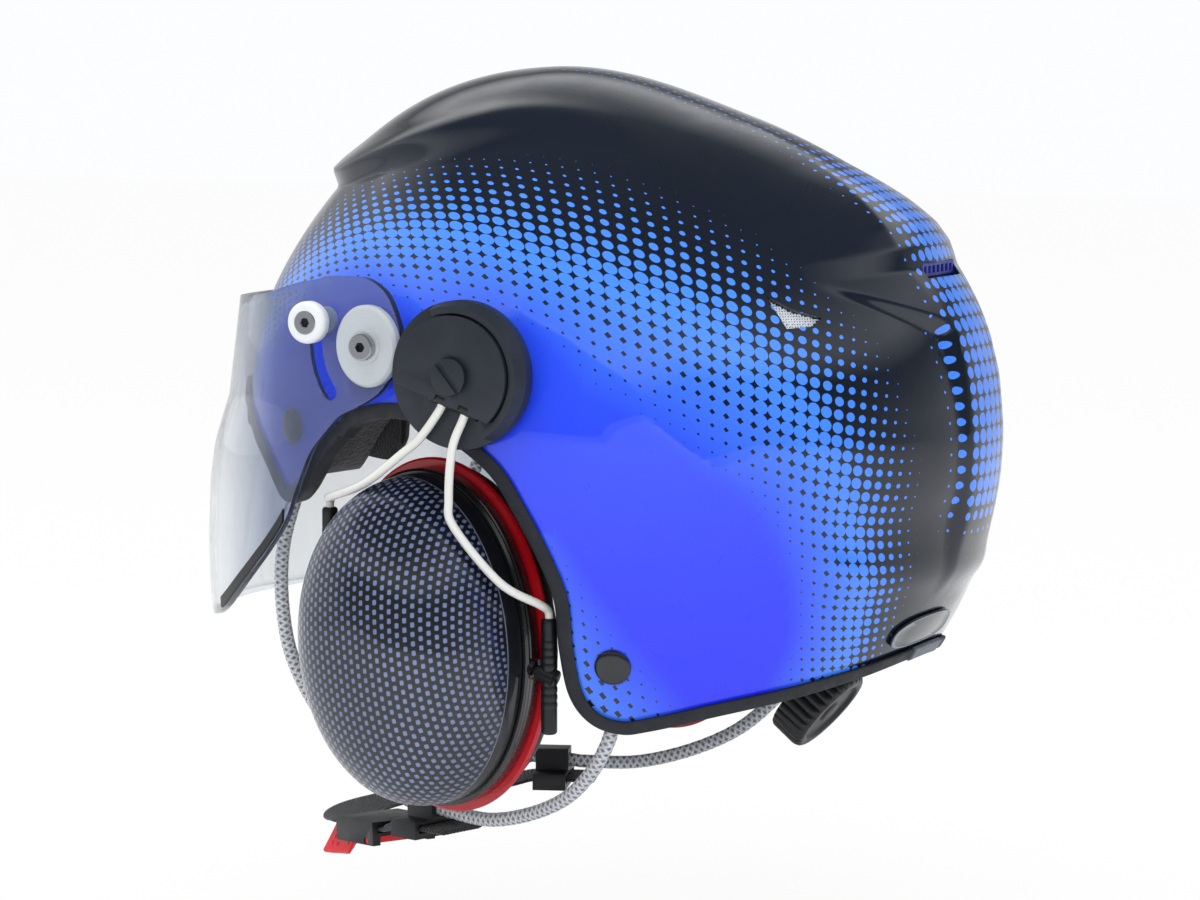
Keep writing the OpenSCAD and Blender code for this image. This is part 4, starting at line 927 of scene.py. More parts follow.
def side_tone(sheet):
    """Blueness from 0 to 1: three radii for every bearing about a centre near the ear say
    where the dots begin, where they touch and where the blue is whole."""
    v = sheet - TONE_CENTRE
    r = np.hypot(v[:, 0], v[:, 1])
    bearing = np.degrees(np.arctan2(v[:, 1], v[:, 0]))
    none, touch, full = (np.interp(bearing, TONE_AT, k) for k in (TONE_NONE, TONE_TOUCH, TONE_FULL))
    tone = np.where(r > touch, 0.5 * (none - r) / (none - touch),
                    0.5 + 0.5 * (touch - r) / (touch - full))
    way = unit(CORNER_B - CORNER_A)
    past = (sheet - CORNER_A) @ np.array([way[1], -way[0]])
    corner = 1 - CORNER_LESS * np.clip(past / CORNER_FADE, 0, 1) * (sheet[:, 1] < CORNER_TOP)
    return np.minimum(np.clip(tone, 0, 1), corner)


def strip_tone(p):
    """Blueness of the middle strip, strongest on the ridge and faint on the crown."""
    x = np.abs(p[:, 0])
    strong = 0.16 + 0.34 * ease(60, 95, p[:, 1])
    wide = 20 + 6 * ease(60, 100, p[:, 1])
    whole = ease(-75, -40, p[:, 1]) * ease(-45, -25, p[:, 2])
    return np.clip(strong * (1 - (x / wide)**2), 0, 1) * whole


def lay_print(piece):
    """Writes the two sheets as UV maps, in dots, and the tones as a point attribute. The
    inside, where the normal points back at the head's middle, is left without print."""
    mesh = piece.data
    p = numbers(mesh.vertices, "co") / MM
    sheet = sheet_place(p)
    down = np.degrees(np.arctan2(p[:, 1], p[:, 2] - LEVEL_Z)) * STRIP_PER_DEGREE
    lay_maps(mesh, side=dot_places(sheet), strip=np.stack([p[:, 0], down], -1) / STRIP_PITCH)
    outer = (numbers(mesh.vertex_normals, "vector") * p).sum(-1) > 0
    values = np.stack([side_tone(sheet) * outer, strip_tone(p) * outer, ease(-80, 60, p[:, 2])], -1)
    note(mesh, "tone", values)
    return values


tones = lay_print(shell)
print("mean blueness", np.round(tones.mean(0), 2))

# %% [markdown]
# ## Gloss paint
# Under a clear coat lies the print. Each dot is found from its cell: inside a circle
# that grows with the tone it is blue, and past half tone a diamond takes over. The blue
# itself drifts from a bright azure in the dots to a deeper blue in the flat field.

# %% Gloss paint
gloss = Finish("gloss_paint", paint(20, 26, 36), 0.32, Coat_Weight=1.0, Coat_Roughness=0.02,
               Coat_IOR=1.5, Specular_IOR_Level=0.15)
tones_at = gloss.noted("tone")


def dots(finish, sheet, tone):
    """One where the print is blue: the larger of circle minus distance and tone minus
    diamond distance, cut off at zero."""
    a, b = (finish.off_middle(c) for c in finish.parts(finish.cloth(sheet))[:2])
    far = finish.do("SQRT", finish.do("ADD", finish.do("MULTIPLY", a, a), finish.do("MULTIPLY", b, b)))
    circle = finish.do("SUBTRACT", finish.do("MINIMUM", tone, 0.5), far)
    diamond = finish.do("SUBTRACT", tone, finish.do("ADD", a, b))
    return finish.span(finish.do("MAXIMUM", circle, diamond), -0.015, 0.015)


side_dots = dots(gloss, "side", tones_at[0])
strip_dots = dots(gloss, "strip", tones_at[1])
drift = gloss.noise(14.0, 2.0)
azure = gloss.blend(drift, paint(64, 132, 255), paint(78, 146, 255))
deep = gloss.blend(tones_at[2], paint(30, 48, 246), paint(46, 86, 255))
blue = gloss.blend(gloss.span(tones_at[0], 0.56, 1.0), azure, deep)
black = gloss.blend(drift, paint(14, 21, 33), paint(20, 30, 45))
gloss.colour(gloss.blend(gloss.do("MAXIMUM", side_dots, strip_dots), black, blue))
gloss.wear(0.26, 0.4, 90.0)
dress(shell, gloss)
print("gloss paint:", len(gloss.tree.nodes), "nodes")

# %% [markdown]
# ## Edge trim
# A rubber channel is pressed over the rim all the way round. It is one flat
# outline carried along the rim, square to the shell: a U with a rounded foot and soft
# lips. At the nape its ends meet in a grey moulded sleeve of the same form, a little
# larger.

# %% Edge trim and sleeve
TRIM_GAP, TRIM_OUT, TRIM_UP, TRIM_DOWN = 2.1, 3.4, 3.0, 2.2
SLEEVE_S, SLEEVE_GAP, SLEEVE_GROW = 0.65, 0.03, 0.5


def channel_outline(grow):
    """U of the channel in mm: the foot follows |cos|^0.5 and |sin|^0.5 of half a turn, and
    each lip has a soft top. It runs the way that faces the mesh outwards."""
    wide, deep = TRIM_OUT + grow, TRIM_DOWN + grow
    foot = [wide, -deep] * power(around(np.radians(np.linspace(0, 180, 14))), 0.5)
    lip = np.array([[wide, TRIM_UP - 0.6], [wide - 0.3, TRIM_UP - 0.1], [wide - 0.7, TRIM_UP],
                    [TRIM_GAP + 0.2, TRIM_UP - 0.1], [TRIM_GAP, TRIM_UP - 0.4], [TRIM_GAP, -0.8]])
    return np.concatenate([foot, lip * [-1, 1], lip[::-1]])


def channel(name, s, grow):
    """The outline at each rim place, with its first axis along the form's normal made
    square to the way of travel."""
    t, q = rim_dir(s)
    path = form(t, q, -WALL / 2)
    way = frames_of(path, Z)[0]
    n = form_normal(t, q)
    n = unit(n - (n * way).sum(-1, keepdims=True) * way)
    return tube(name, swept(path, channel_outline(grow), n, np.cross(n, way)))


trim = channel("edge_trim_piece", np.linspace(SLEEVE_S - RIM_LAST, RIM_LAST - SLEEVE_S, 620), 0.0)
sleeve_half = SLEEVE_S - SLEEVE_GAP
sleeve = channel("trim_sleeve_piece", RIM_LAST + np.linspace(-sleeve_half, sleeve_half, 25), SLEEVE_GROW)
place(trim, "helmet", "trim_black", "edge_trim")
place(sleeve, "helmet", "sleeve_grey", "trim_sleeve")
rubber = Finish("trim_rubber", paint(22, 25, 31), 0.62)
run = rubber.parts(rubber.cloth())
ribs = rubber.do("SINE", rubber.do("MULTIPLY", run[1], 7.0))
fine = rubber.do("SINE", rubber.do("MULTIPLY", run[0], 9.0))
grain = rubber.noise(2600.0, 3.0, 0.6)
weft = rubber.do("MULTIPLY", ribs, fine)
rubber.tones(weft, paint(13, 15, 20), paint(40, 45, 54), -1, 1)
rubber.bump(rubber.do("ADD", weft, rubber.do("MULTIPLY", grain, 0.8)), 0.09, 0.8)
rubber.wear(0.5, 0.72, 160.0)
dress(trim, rubber)
grey = Finish("sleeve_rubber", paint(105, 112, 126), 0.5)
run = grey.parts(grey.cloth())
ribs = grey.do("ABSOLUTE", grey.do("SINE", grey.do("MULTIPLY", run[1], 1.05)))
grey.tones(grey.noise(420.0, 4.0), paint(92, 98, 111), paint(120, 127, 141))
grey.bump(grey.do("ADD", ribs, grey.do("MULTIPLY", grey.noise(1500.0), 0.2)), 0.35, 0.7)
dress(sleeve, grey)
print("trim runs over", len(trim.data.polygons), "faces")

# %% [markdown]
# ## Visor
# The lens is a bent sheet of clear plastic: a flat plate leaning out on each side, drawn
# to a round end at its pivot, and a curved front between them. Columns of the sheet were
# measured as edges, top and bottom; here a smooth curve runs through them, so the
# reflections flow. The neck hole and the guide's curved slot are cut through each plate.

# %% Lens
LENS_HALF, LENS_TOP_REACH, LENS_REACH, LEAN, LENS_T = PIVOT_X + 3.4, 93.0, 108.5, 15.0, 2.2
SHARE_Z = [-75, -67, -50, -28, -15, 2, 35, 47]
SHARE = [0.9, 0.97, 1.01, 0.94, 0.79, 0.35, 0, -0.15]
PLATE_COLS = np.array([[12.4, 31, 25], [10, 37, 18.5], [7, 42, 13.5], [3, 45, 9.5], [-2, 47, 6.5],
                       [-8, 47.3, 3.8], [-14, 47.2, 1], [-19, 47, -3.5]])
FRONT_COLS = np.array([[75, 45.8, -12], [72, 45, -24], [69, 44.2, -36], [64, 42.3, -46.5], [60, 40.7, -53],
                       [55, 39.4, -60], [50, 38.4, -66], [45, 37.6, -70.5], [38, 36.8, -74],
                       [30, 36.1, -75], [20, 35.5, -75.6], [10, 35.1, -75.9], [0, 35, -76]])
LENS_PER, LENS_ROWS = 6, 30


def lens_column(v):
    """Points of the wearer's left half at share v of the height, one for each column."""
    y, top, foot = PLATE_COLS.T
    plate = np.stack([PLATE_X + np.tan(np.radians(LEAN)) * y, PIVOT_Y + y, mix(foot, top, v)], -1)
    angle, top, foot = FRONT_COLS.T
    c, z = np.radians(angle), mix(foot, top, v)
    reach = mix(LENS_TOP_REACH, LENS_REACH, np.interp(z, SHARE_Z, SHARE))
    front = np.stack([LENS_HALF * np.sin(c), PIVOT_Y - reach * np.cos(c), z], -1)
    return np.concatenate([plate, front])


def lens_net(rows):
    """Outside of the sheet, (columns, rows, 3): every row is a smooth curve through its
    column points, from one pivot round the face to the other."""
    lines = []
    for v in rows:
        half = lens_column(v)
        lines.append(curve_through(np.concatenate([half, (half * [-1, 1, 1])[-2::-1]]), LENS_PER))
    return np.stack(lines, 1)


def sheet_normals(net_points):
    """Outward direction of a sheet: the cross product of its two slopes."""
    along, up = np.gradient(net_points, axis=0), np.gradient(net_points, axis=1)
    n = unit(np.cross(along, up))
    return n * np.sign((n * (net_points - [0, PIVOT_Y, 0])).sum(-1, keepdims=True))


outside = lens_net(np.linspace(0, 1, LENS_ROWS))
inside = outside - LENS_T * sheet_normals(outside)
lens = tube("lens_piece", np.concatenate([inside[:, ::-1], outside], 1))
GUIDE_R, GUIDE_W, GUIDE_FROM, GUIDE_SWEEP, NECK_R = 24.0, 5.8, 163.0, 59.0, 4.1


def slot_outline():
    """Outline of a bent slot in the side view: an outer arc, a round end, the inner arc
    back and the other round end."""
    a, half = np.radians(np.linspace(GUIDE_FROM, GUIDE_FROM + GUIDE_SWEEP, 28)), GUIDE_W / 2
    bow = np.linspace(0, np.pi, 9)[1:-1]
    far_end, near_end = (GUIDE_R * around(k) + half * around(k + turn + bow)
                         for k, turn in ((a[-1], 0.0), (a[0], np.pi)))
    return np.concatenate([(GUIDE_R + half) * around(a), far_end,
                           (GUIDE_R - half) * around(a[::-1]), near_end])


pivot = np.array([0.0, PIVOT_Y, PIVOT_Z])
slot_left = prism("slot_left", slot_outline(), pivot, Y, Z, X, PLATE_X - 25, PLATE_X + 15)
neck_left = prism("neck_left", ring_of(NECK_R, 40), pivot, Y, Z, X, PLATE_X - 12, PLATE_X + 12)
cut(lens, slot_left, neck_left, mirrored(slot_left, "slot_right"), mirrored(neck_left, "neck_right"))
smooth(eased(lens, 0.4, 50).data, 30.0)
place(lens, "visor", "lens_clear", "visor_lens")
print("lens:", len(lens.data.polygons), "faces")

# %% [markdown]
# ## Lens finish
# Clear plastic is a bare transmission shader with a faint smoke tint and a trace of
# milkiness, and shadow rays pass straight through it. Where light runs along inside the
# sheet, at its cut edges, it comes out dark, so the edge faces get a deeper smoke. They
# are picked out as the faces that don't look the way the sheet does.

# %% Lens finish
EDGE_LOOKS = 0.72


def clear_plastic(name, tint, rough, milk=0.0):
    """Glass-like finish whose shadows are let through, with a little milkiness: the share
    of light that the plastic scatters."""
    made = Finish(name, tint, rough, Transmission_Weight=1.0 - milk, IOR=1.38)
    wisps = made.noise(30.0, 3.0, 0.6)
    made.rough(made.span(wisps, 0.3, 0.7, rough, rough + 0.02))
    open_air = made.add("BsdfTransparent", {"Color": (0.93, 0.94, 0.96, 1.0)})
    made.end(made.add("MixShader", {0: made.add("LightPath").outputs["Is Shadow Ray"],
                                    1: made.shader.outputs[0], 2: open_air.outputs[0]}))
    return made


lens_face = clear_plastic("lens_face", paint(245, 247, 250), 0.012, 0.14)
on_lens = lens_face.parts(lens_face.place())
front_tint = lens_face.blend(lens_face.span(on_lens[2], -20 * MM, 45 * MM), paint(250, 252, 254),
                             paint(224, 229, 236))
lens_face.colour(lens_face.blend(lens_face.span(on_lens[1], -116 * MM, -86 * MM), front_tint,
                                 paint(158, 168, 188)))
lens_edge = clear_plastic("lens_edge", paint(96, 102, 116), 0.12)
lens.data.materials.append(lens_face.mat)
lens.data.materials.append(lens_edge.mat)
x, y, z = (numbers(lens.data.polygons, "center") / MM).T
bowed = unit(np.stack([x / LENS_HALF**2, (y - PIVOT_Y) / LENS_REACH**2, 0 * z], -1))
leaning = np.stack([np.sign(x) * np.cos(np.radians(LEAN)), 0 * y - np.sin(np.radians(LEAN)), 0 * z], -1)
sheet_way = np.where((y > PIVOT_Y - 18)[:, None], leaning, bowed)
edge = np.abs((sheet_way * numbers(lens.data.polygons, "normal")).sum(-1)) < EDGE_LOOKS
lens.data.polygons.foreach_set("material_index", edge.astype(np.int32))
print("edge faces:", int(edge.sum()))

# %% [markdown]
# ## Lens strips
# A black strip is bonded along the lower rear edge of each side, where the lens meets
# the cheek. It follows the sheet at a small height above it.

# %% Edge strips
STRIP_FROM, STRIP_TO, STRIP_HIGH = 10, 15, 4.5
strip_cols = slice(STRIP_FROM * LENS_PER, STRIP_TO * LENS_PER + 1)
lower = outside[strip_cols, 0]
upward_way = unit(outside[strip_cols, 3] - lower)
off = sheet_normals(outside)[strip_cols, 0]
STRIP_RING = np.array([[STRIP_HIGH, 0.06], [0.3, 0.06], [0.3, 0.6], [0.55, 0.9],
                       [STRIP_HIGH - 0.25, 0.9], [STRIP_HIGH, 0.6]])
strips = pair("lens_strips", tube("lens_strip", swept(lower, STRIP_RING, upward_way, off)))
place(strips, "visor", "strip_black", "visor_edge_strips")
strip_finish = Finish("strip_finish", paint(16, 18, 23), 0.45)
strip_finish.tones(strip_finish.noise(300.0, 3.0), paint(12, 14, 18), paint(28, 31, 38))
strip_finish.bump(strip_finish.noise(2200.0), 0.05, 0.6)
dress(strips, strip_finish)
print("strips are", round(length_of(lower)), "mm long")

# %% [markdown]
# ## Moulded and machined hard parts
# Discs, bosses, bases, slides and the buckle keep the form they have in CAD. Each gets
# eased edges, because a knife-sharp edge never catches light, and a finish of its own:
# grained charcoal plastic, satin white plastic, brushed metal or dark moulding.

# %% Finishes for hard parts
def grained(name, dark, light, rough, grain=1800.0, deep=0.06, **more):
    """Moulded plastic: a slow drift of tone, a fine grain in relief and uneven shine."""
    made = Finish(name, dark, rough, **more)
    made.tones(made.noise(45.0, 4.0, 0.6), dark, light)
    made.bump(made.noise(grain, 3.0, 0.6), deep, 0.7)
    made.rough(made.span(made.noise(120.0, 4.0, 0.6), 0.3, 0.7, rough - 0.06, rough + 0.08))
    return made


def brushed(name, dark, light, rough, metallic=1.0):
    """Turned metal or plastic: fine rings about the visor's pivot."""
    made = Finish(name, light, rough, Metallic=metallic)
    at = made.parts(made.place())
    y, z = made.do("SUBTRACT", at[1], PIVOT_Y * MM), made.do("SUBTRACT", at[2], PIVOT_Z * MM)
    radius = made.do("SQRT", made.do("MULTIPLY_ADD", y, y, made.do("MULTIPLY", z, z)))
    rings_at = made.add("CombineXYZ", {0: made.do("MULTIPLY", radius, 9.0)}).outputs[0]
    lines = made.noise(700.0, 2.0, 0.7, at=rings_at)
    made.tones(lines, dark, light)
    made.bump(lines, 0.02, 0.5)
    made.rough(made.span(lines, 0.3, 0.7, rough - 0.06, rough + 0.08))
    return made


charcoal = grained("charcoal_plastic", paint(24, 30, 38), paint(38, 46, 56), 0.5, 2400.0, 0.07)
moulded = grained("black_moulding", paint(15, 16, 19), paint(25, 27, 31), 0.42, 1500.0, 0.05)
white_plastic = grained("white_plastic", paint(226, 229, 232), paint(240, 242, 244), 0.34, 900.0, 0.03)
disc_plastic = brushed("disc_plastic", paint(176, 184, 190), paint(205, 211, 215), 0.3, 0.15)
steel = brushed("turned_steel", paint(120, 124, 130), paint(196, 200, 204), 0.3)
cap_black = grained("cap_black", paint(14, 16, 20), paint(26, 29, 35), 0.3, 700.0, 0.03, Coat_Weight=0.4)
red_plastic = grained("red_plastic", paint(228, 16, 34), paint(244, 30, 48), 0.36, 1300.0, 0.04)
HARD = [("visor_pivot_bosses", "helmet", "boss_black", moulded, 0.4),
        ("visor_pivot_discs", "visor", "disc_grey", disc_plastic, 0.3),
        ("visor_pivot_screws", "helmet", "rivet_steel", steel, 0.25),
        ("visor_guide_knobs", "helmet", "knob_white", white_plastic, 0.45),
        ("cord_anchors", "helmet", "boss_black", moulded, 0.35),
        ("strap_slides", "helmet", "buckle_black", moulded, 0.5),
        ("buckle_body", "helmet", "buckle_black", moulded, 0.45),
        ("buckle_ratchet", "helmet", "buckle_black", moulded, 0.15),
        ("cradle_guides", "helmet", "cradle_black", moulded, 0.5)]
for side in ("left", "right"):
    HARD += [(side + "_mount_base", "helmet", "mount_black", charcoal, 0.45),
             (side + "_rotor", side + "_turner", "mount_black", charcoal, 0.5),
             (side + "_mount_screw", "helmet", "mount_black", charcoal, 0.3),
             (side + "_speaker", side + "_cup", "boss_black", moulded, 0.3)]
# Near-black finish for the socket bottoms: painted shade in the hex holes.
painted_socket_shade = grained("painted_socket_shade", paint(8, 9, 11), paint(16, 17, 20), 0.6)
KNOB_Y, KNOB_Z = [PIVOT_Y, PIVOT_Z] + GUIDE_R * around(np.radians(GUIDE_FROM))
SOCKETS = {"visor_pivot_screws": (113.7, 114.0, 4.1, PIVOT_Y, PIVOT_Z, 112.4),
           "visor_guide_knobs": (109.1, 109.45, 3.9, KNOB_Y, KNOB_Z, 108.3)}
SOCKET_R, SOCKET_SIDES, SCREW_TURN = 1.75, 48, np.radians(60.0)


def socket(x0, x1, radius, y, z, bottom):
    """Screw face with a six-sided socket: a steel ring whose inner edge is a hexagon, r =
    R cos 30 / cos of the angle from the nearest flat, and a bottom coloured near black as painted shade."""
    g = turns(SOCKET_SIDES)
    flats = SOCKET_R * np.cos(np.pi / 6) / np.cos(np.mod(g, np.pi / 3) - np.pi / 6)

    def rings(*steps):
        return [np.stack([at + 0 * g, y + r * np.cos(g), z + r * np.sin(g)], -1) for at, r in steps]

    face = rings((x0, radius), (x1 - 0.1, radius), (x1, radius - 0.25), (x1, flats), (x0, flats))
    # The plug at the socket's bottom carries the painted shade of the hole.
    plug = rings((bottom, flats), (bottom + 0.3, flats))
    made = [dress(tube("screw_face", face, loop=True), steel),
            dress(tube("socket_bottom", plug), painted_socket_shade)]
    return made + [mirrored(one, one.name + "_twin") for one in made]


for node, body, slot, finish, width in HARD:
    piece = dress(finished(node, width), finish)
    if node in SOCKETS:
        piece = gathered(node + "_piece", [piece] + socket(*SOCKETS[node]))
        smooth(piece.data)
    if node.endswith("mount_screw"):
        about = Matrix.Translation(Vector((0, MOUNT_Y, MOUNT_Z)) * MM)
        turn = SCREW_TURN if node.startswith("left") else -SCREW_TURN
        piece.data.transform(about @ Matrix.Rotation(turn, 4, "X") @ about.inverted())
    place(piece, body, slot, node)
print("hard parts:", len(HARD))

# %% [markdown]
# ## Yoke wires
# Two bent steel wires, painted white, hang each ear cup from the turning plate. They are
# round tubes along smooth bends, with a straight end that dips into its sleeve, and
# they join at a cross bar that turns in the plate's groove.

# %% Yoke wires
YOKE_TURN, GROOVE_X, GROOVE_OFF = np.radians(20.0), ROTOR_X + 3.0, 8.2
WIRE_R, CROSS_R, SLEEVE_L = 1.42, 2.4, 38.0
CUP_AT, CUP_YAW, CUP_ROLL = np.array([MOUNT_X - 9, -26.0, -71.5]), np.radians(-6.0), np.radians(5.8)


def cup_world(p):
    """Points given in the cup's own axes, X out of the head and Z up: rolled about X,
    then turned about Z and moved to the cup's place."""
    p = np.asarray(p, float)
    y = p[..., 1] * np.cos(CUP_ROLL) - p[..., 2] * np.sin(CUP_ROLL)
    z = p[..., 1] * np.sin(CUP_ROLL) + p[..., 2] * np.cos(CUP_ROLL)
    return CUP_AT + np.stack([p[..., 0] * np.cos(CUP_YAW) - y * np.sin(CUP_YAW),
                              p[..., 0] * np.sin(CUP_YAW) + y * np.cos(CUP_YAW), z], -1)


def groove_point(w, down):
    """Place in the plate's groove, w along it and down out of it."""
    c, s = np.cos(YOKE_TURN), np.sin(YOKE_TURN)
    return np.array([GROOVE_X, MOUNT_Y + w * c - (GROOVE_OFF + down) * s,
                     MOUNT_Z - w * s - (GROOVE_OFF + down) * c])


rear_pin, front_pin = cup_world([-4, 42.8, -14]), cup_world([-4, -39.6, 25.6])
RISE = SLEEVE_L / 2
at_mount = np.array([MOUNT_X, MOUNT_Y, 0.0])
FRONT_BENDS = [[12.3, -12.8, -3], [12.3, -19.5, -8.5], [11.4, -34, -19], [-1.5, -53.5, -25.5]]
REAR_BENDS = [[13.6, -0.6, -6], [14.6, -1.4, -22], [14.6, 0.4, -31], [7.6, 13.2, -49], [-4.5, 21.6, -57.2]]


def wire_route(along_groove, bends, pin, last_bend):
    """Route of a wire: out of the groove, round its bends and down into its sleeve."""
    return np.concatenate([[groove_point(along_groove, 0.7), groove_point(along_groove, 4)],
                           at_mount + bends, pin + [last_bend, [0, 0, 0.5], [0, 0, -8]] + RISE * Z])


front_wire = wire_route(-1.1, FRONT_BENDS, front_pin, [0.6, 0.8, 3.2])
rear_wire = wire_route(7.7, REAR_BENDS, rear_pin, [0.3, -0.3, 2.6])


def round_bar(name, path, radius):
    """Round tube along a path, with its ends drawn in a little."""
    rings = carried(path, ring_of(radius, 20), [1.0, 0.3, 0.0])
    ends = rings[[0, -1]].mean(1, keepdims=True)
    soft = ends + 0.72 * (rings[[0, -1]] - ends)
    return tube(name, np.concatenate([soft[:1], rings[:1] + 0.2 * (rings[1:2] - rings[:1]), rings[1:-1],
                                      rings[-1:] - 0.2 * (rings[-1:] - rings[-2:-1]), soft[1:]]))


white_wire = Finish("white_wire", paint(232, 233, 228), 0.3, Coat_Weight=0.5, Coat_Roughness=0.1)
white_wire.tones(white_wire.noise(60.0, 4.0), paint(222, 222, 214), paint(240, 240, 236))
white_wire.bump(white_wire.noise(1100.0, 3.0), 0.03, 0.5)
bars = [dress(round_bar("wire", evenly(curve_through(w, 8), 1.2), WIRE_R), white_wire)
        for w in (front_wire, rear_wire)]
cross = straight(groove_point(-6.5, 0), groove_point(13, 0), 1.5)
yoke = gathered("yoke", bars + [dress(round_bar("cross", cross, CROSS_R), moulded)])
smooth(yoke.data)
on_both("yoke_piece", yoke, "yoke", "wire_white", "yoke_wires")
print("wire lengths:", [round(length_of(w)) for w in (front_wire, rear_wire)], "mm")

# %% [markdown]
# ## Arm sleeves
# Each wire ends in a black moulded arm, ribbed for the thumb, that clicks up and down on
# the wire and carries the pin on which the cup tilts. It is a turned form, whose radius
# swells into ribs along its height.

# %% Arm sleeves
pin_way = unit(front_pin - rear_pin)
SLEEVE_R, PIN_R, BOSS_R = 2.75, 1.8, 3.1
RIBS, RIB_DEEP, RIBS_FROM, RIBS_TO = 9, 0.3, 0.22, 0.82


def arm(name, pin, way):
    """Ribbed arm about a vertical line through the pin: r = R - d (1 - |sin|^0.5) between
    the shoulders, with soft ends; and the pin itself towards the cup."""
    h = np.concatenate([[0.0, 0.0, 0.006, 0.02], np.linspace(0.04, 0.96, 110), [0.98, 0.994, 1.0, 1.0]])
    ribs = np.abs(np.sin(np.clip((h - RIBS_FROM) / (RIBS_TO - RIBS_FROM), 0, 1) * RIBS * np.pi))**0.5
    mid = (h > RIBS_FROM) & (h < RIBS_TO)
    r = SLEEVE_R - RIB_DEEP * np.where(mid, 1 - ribs, 0.35)
    r[[0, -1]], r[[1, -2]], r[[2, -3]] = 0.3, 1.9, 2.3
    heights = (SLEEVE_L * h - RISE)[:, None]
    return [turned(name, np.hstack([heights, r[:, None]]), pin, X, Y, Z, 32),
            round_bar(name + "_pin", straight(pin, pin + 8.4 * way), PIN_R),
            round_bar(name + "_boss", straight(pin - 2.7 * way, pin + 3.4 * way), BOSS_R)]


arm_finish = grained("arm_black", paint(13, 14, 17), paint(24, 26, 30), 0.36, 1300.0, 0.04)
arms = gathered("arms", arm("rear_arm", rear_pin, pin_way) + arm("front_arm", front_pin, -pin_way))
smooth(arms.data, 50.0)
on_both("arms", arms, "slider", "arm_black", "arm_sleeves", arm_finish)
print("arms are", SLEEVE_L, "mm long")

# %% [markdown]
# ## Ear cup
# The cover is a deep oval dome, moulded with a wall of 2.6 mm. Its radius and depth
# follow powers of cosine and sine, which gives the full shoulders and the blunt top.
# Behind it come a black base, a red plate, the cushion and a foam sheet; each is an oval
# ring, so one helper turns a list of (depth, half width, half height) into it.

# %% Ear cups
CUP_W, CUP_H, CUP_DEEP, CUP_WALL, BASE_T, RING_T = 36.0, 54.5, 47.0, 2.6, 8.0, 2.4
CUP_SIDES, CUP_BEND = 176, 0.8


def oval_body(name, profile, loop=False):
    """Closed body through oval rings given as (place along X, half width, half height)."""
    g = turns(CUP_SIDES)
    x, a, b = np.asarray(profile, float).T[:, :, None]
    return tube(name, cup_world(np.stack([x + 0 * g, a * np.cos(g), b * np.sin(g)], -1)), loop)


def dome_of(angles, less):
    """Profile of the dome at these angles, drawn in by so much: depth D sin^0.8, half
    sizes W cos^0.8 and H cos^0.8."""
    c, k = power(around(np.radians(angles)), CUP_BEND).T
    return np.stack([(CUP_DEEP - less) * k, (CUP_W - less) * c, (CUP_H - less) * c], -1)


angles = np.concatenate([[-1.2, 0.0], np.linspace(1, 88, 62), [89.4]])
dome = dome_of(angles, 0.0)
dome[0] = [0.0, CUP_W - 0.5, CUP_H - 0.5]
dome[1:, 0] += 0.35 * (1 - ease(0, 6, angles[1:]))
inner = dome_of(np.append(np.linspace(88, 4, 20), 0.0), CUP_WALL)
cover = oval_body("cover", np.concatenate([inner, dome]))


def lay_weave(piece):
    """UV map of the moulded weave: the dome unrolled from its top, so rows stay level in
    the middle and follow the dome's fall at its sides. Written in mm."""
    p = (numbers(piece.data.vertices, "co") / MM - CUP_AT) @ cup_axes.T
    r = np.hypot(p[:, 1], p[:, 2]) + 1e-6
    arc = np.hypot(r, CUP_DEEP - np.clip(p[:, 0], 0, CUP_DEEP))
    lay_maps(piece.data, weave=p[:, 1:] * (arc / r)[:, None])
    note(piece.data, "rise", np.repeat(p[:, :1], 3, 1))


cup_axes = cup_world(np.eye(3)) - CUP_AT
lay_weave(cover)
print("cover:", len(cover.data.polygons), "faces")

# %% [markdown]
# ## Carbon-look weave
# The cover carries a printed weave under a thick clear coat: rows of small pale tabs on
# near black, every second column shifted by half a row. A cell of 2.35 by 3.1 mm holds
# one rounded tab; a slow noise paints sheen on it, making tabs and ground paler in places.
# The weave ends at a thin pale line, a painted highlight over a faint raised ridge, that
# runs round the cover 8 mm from its open edge.

# %% Weave finish
TAB_W, TAB_H, TAB_HALF_W, TAB_HALF_H, PAINTED_HIGHLIGHT_TONE = 2.35, 3.1, 0.26, 0.27, 0.55
weave = Finish("cup_weave", paint(20, 23, 31), 0.3, Coat_Weight=0.55, Coat_Roughness=0.03, Coat_IOR=1.5)
across, along_it = weave.parts(weave.cloth("weave"))[:2]
column = weave.do("DIVIDE", across, TAB_W)
shift = weave.do("MULTIPLY", weave.do("FLOORED_MODULO", weave.do("FLOOR", column), 2.0), 0.5)
row = weave.do("ADD", weave.do("DIVIDE", along_it, TAB_H), shift)
a = weave.do("DIVIDE", weave.off_middle(column), TAB_HALF_W)
b = weave.do("DIVIDE", weave.off_middle(row), TAB_HALF_H)
square = weave.do("ADD", weave.do("POWER", a, 4.0), weave.do("POWER", b, 4.0))
tab = weave.span(square, 1.6, 0.4)
# A slow noise paints sheen on the weave: tabs and ground are paler where it is high.
painted_sheen_wave = weave.noise(26.0, 3.0, 0.6)
tab_tone = weave.blend(painted_sheen_wave, paint(66, 80, 114), paint(132, 150, 194))
ground = weave.blend(painted_sheen_wave, paint(8, 10, 13), paint(20, 24, 32))
edge_at = weave.noted("rise")[0]
woven = weave.do("MULTIPLY", tab, weave.span(edge_at, 8.6, 8.9))
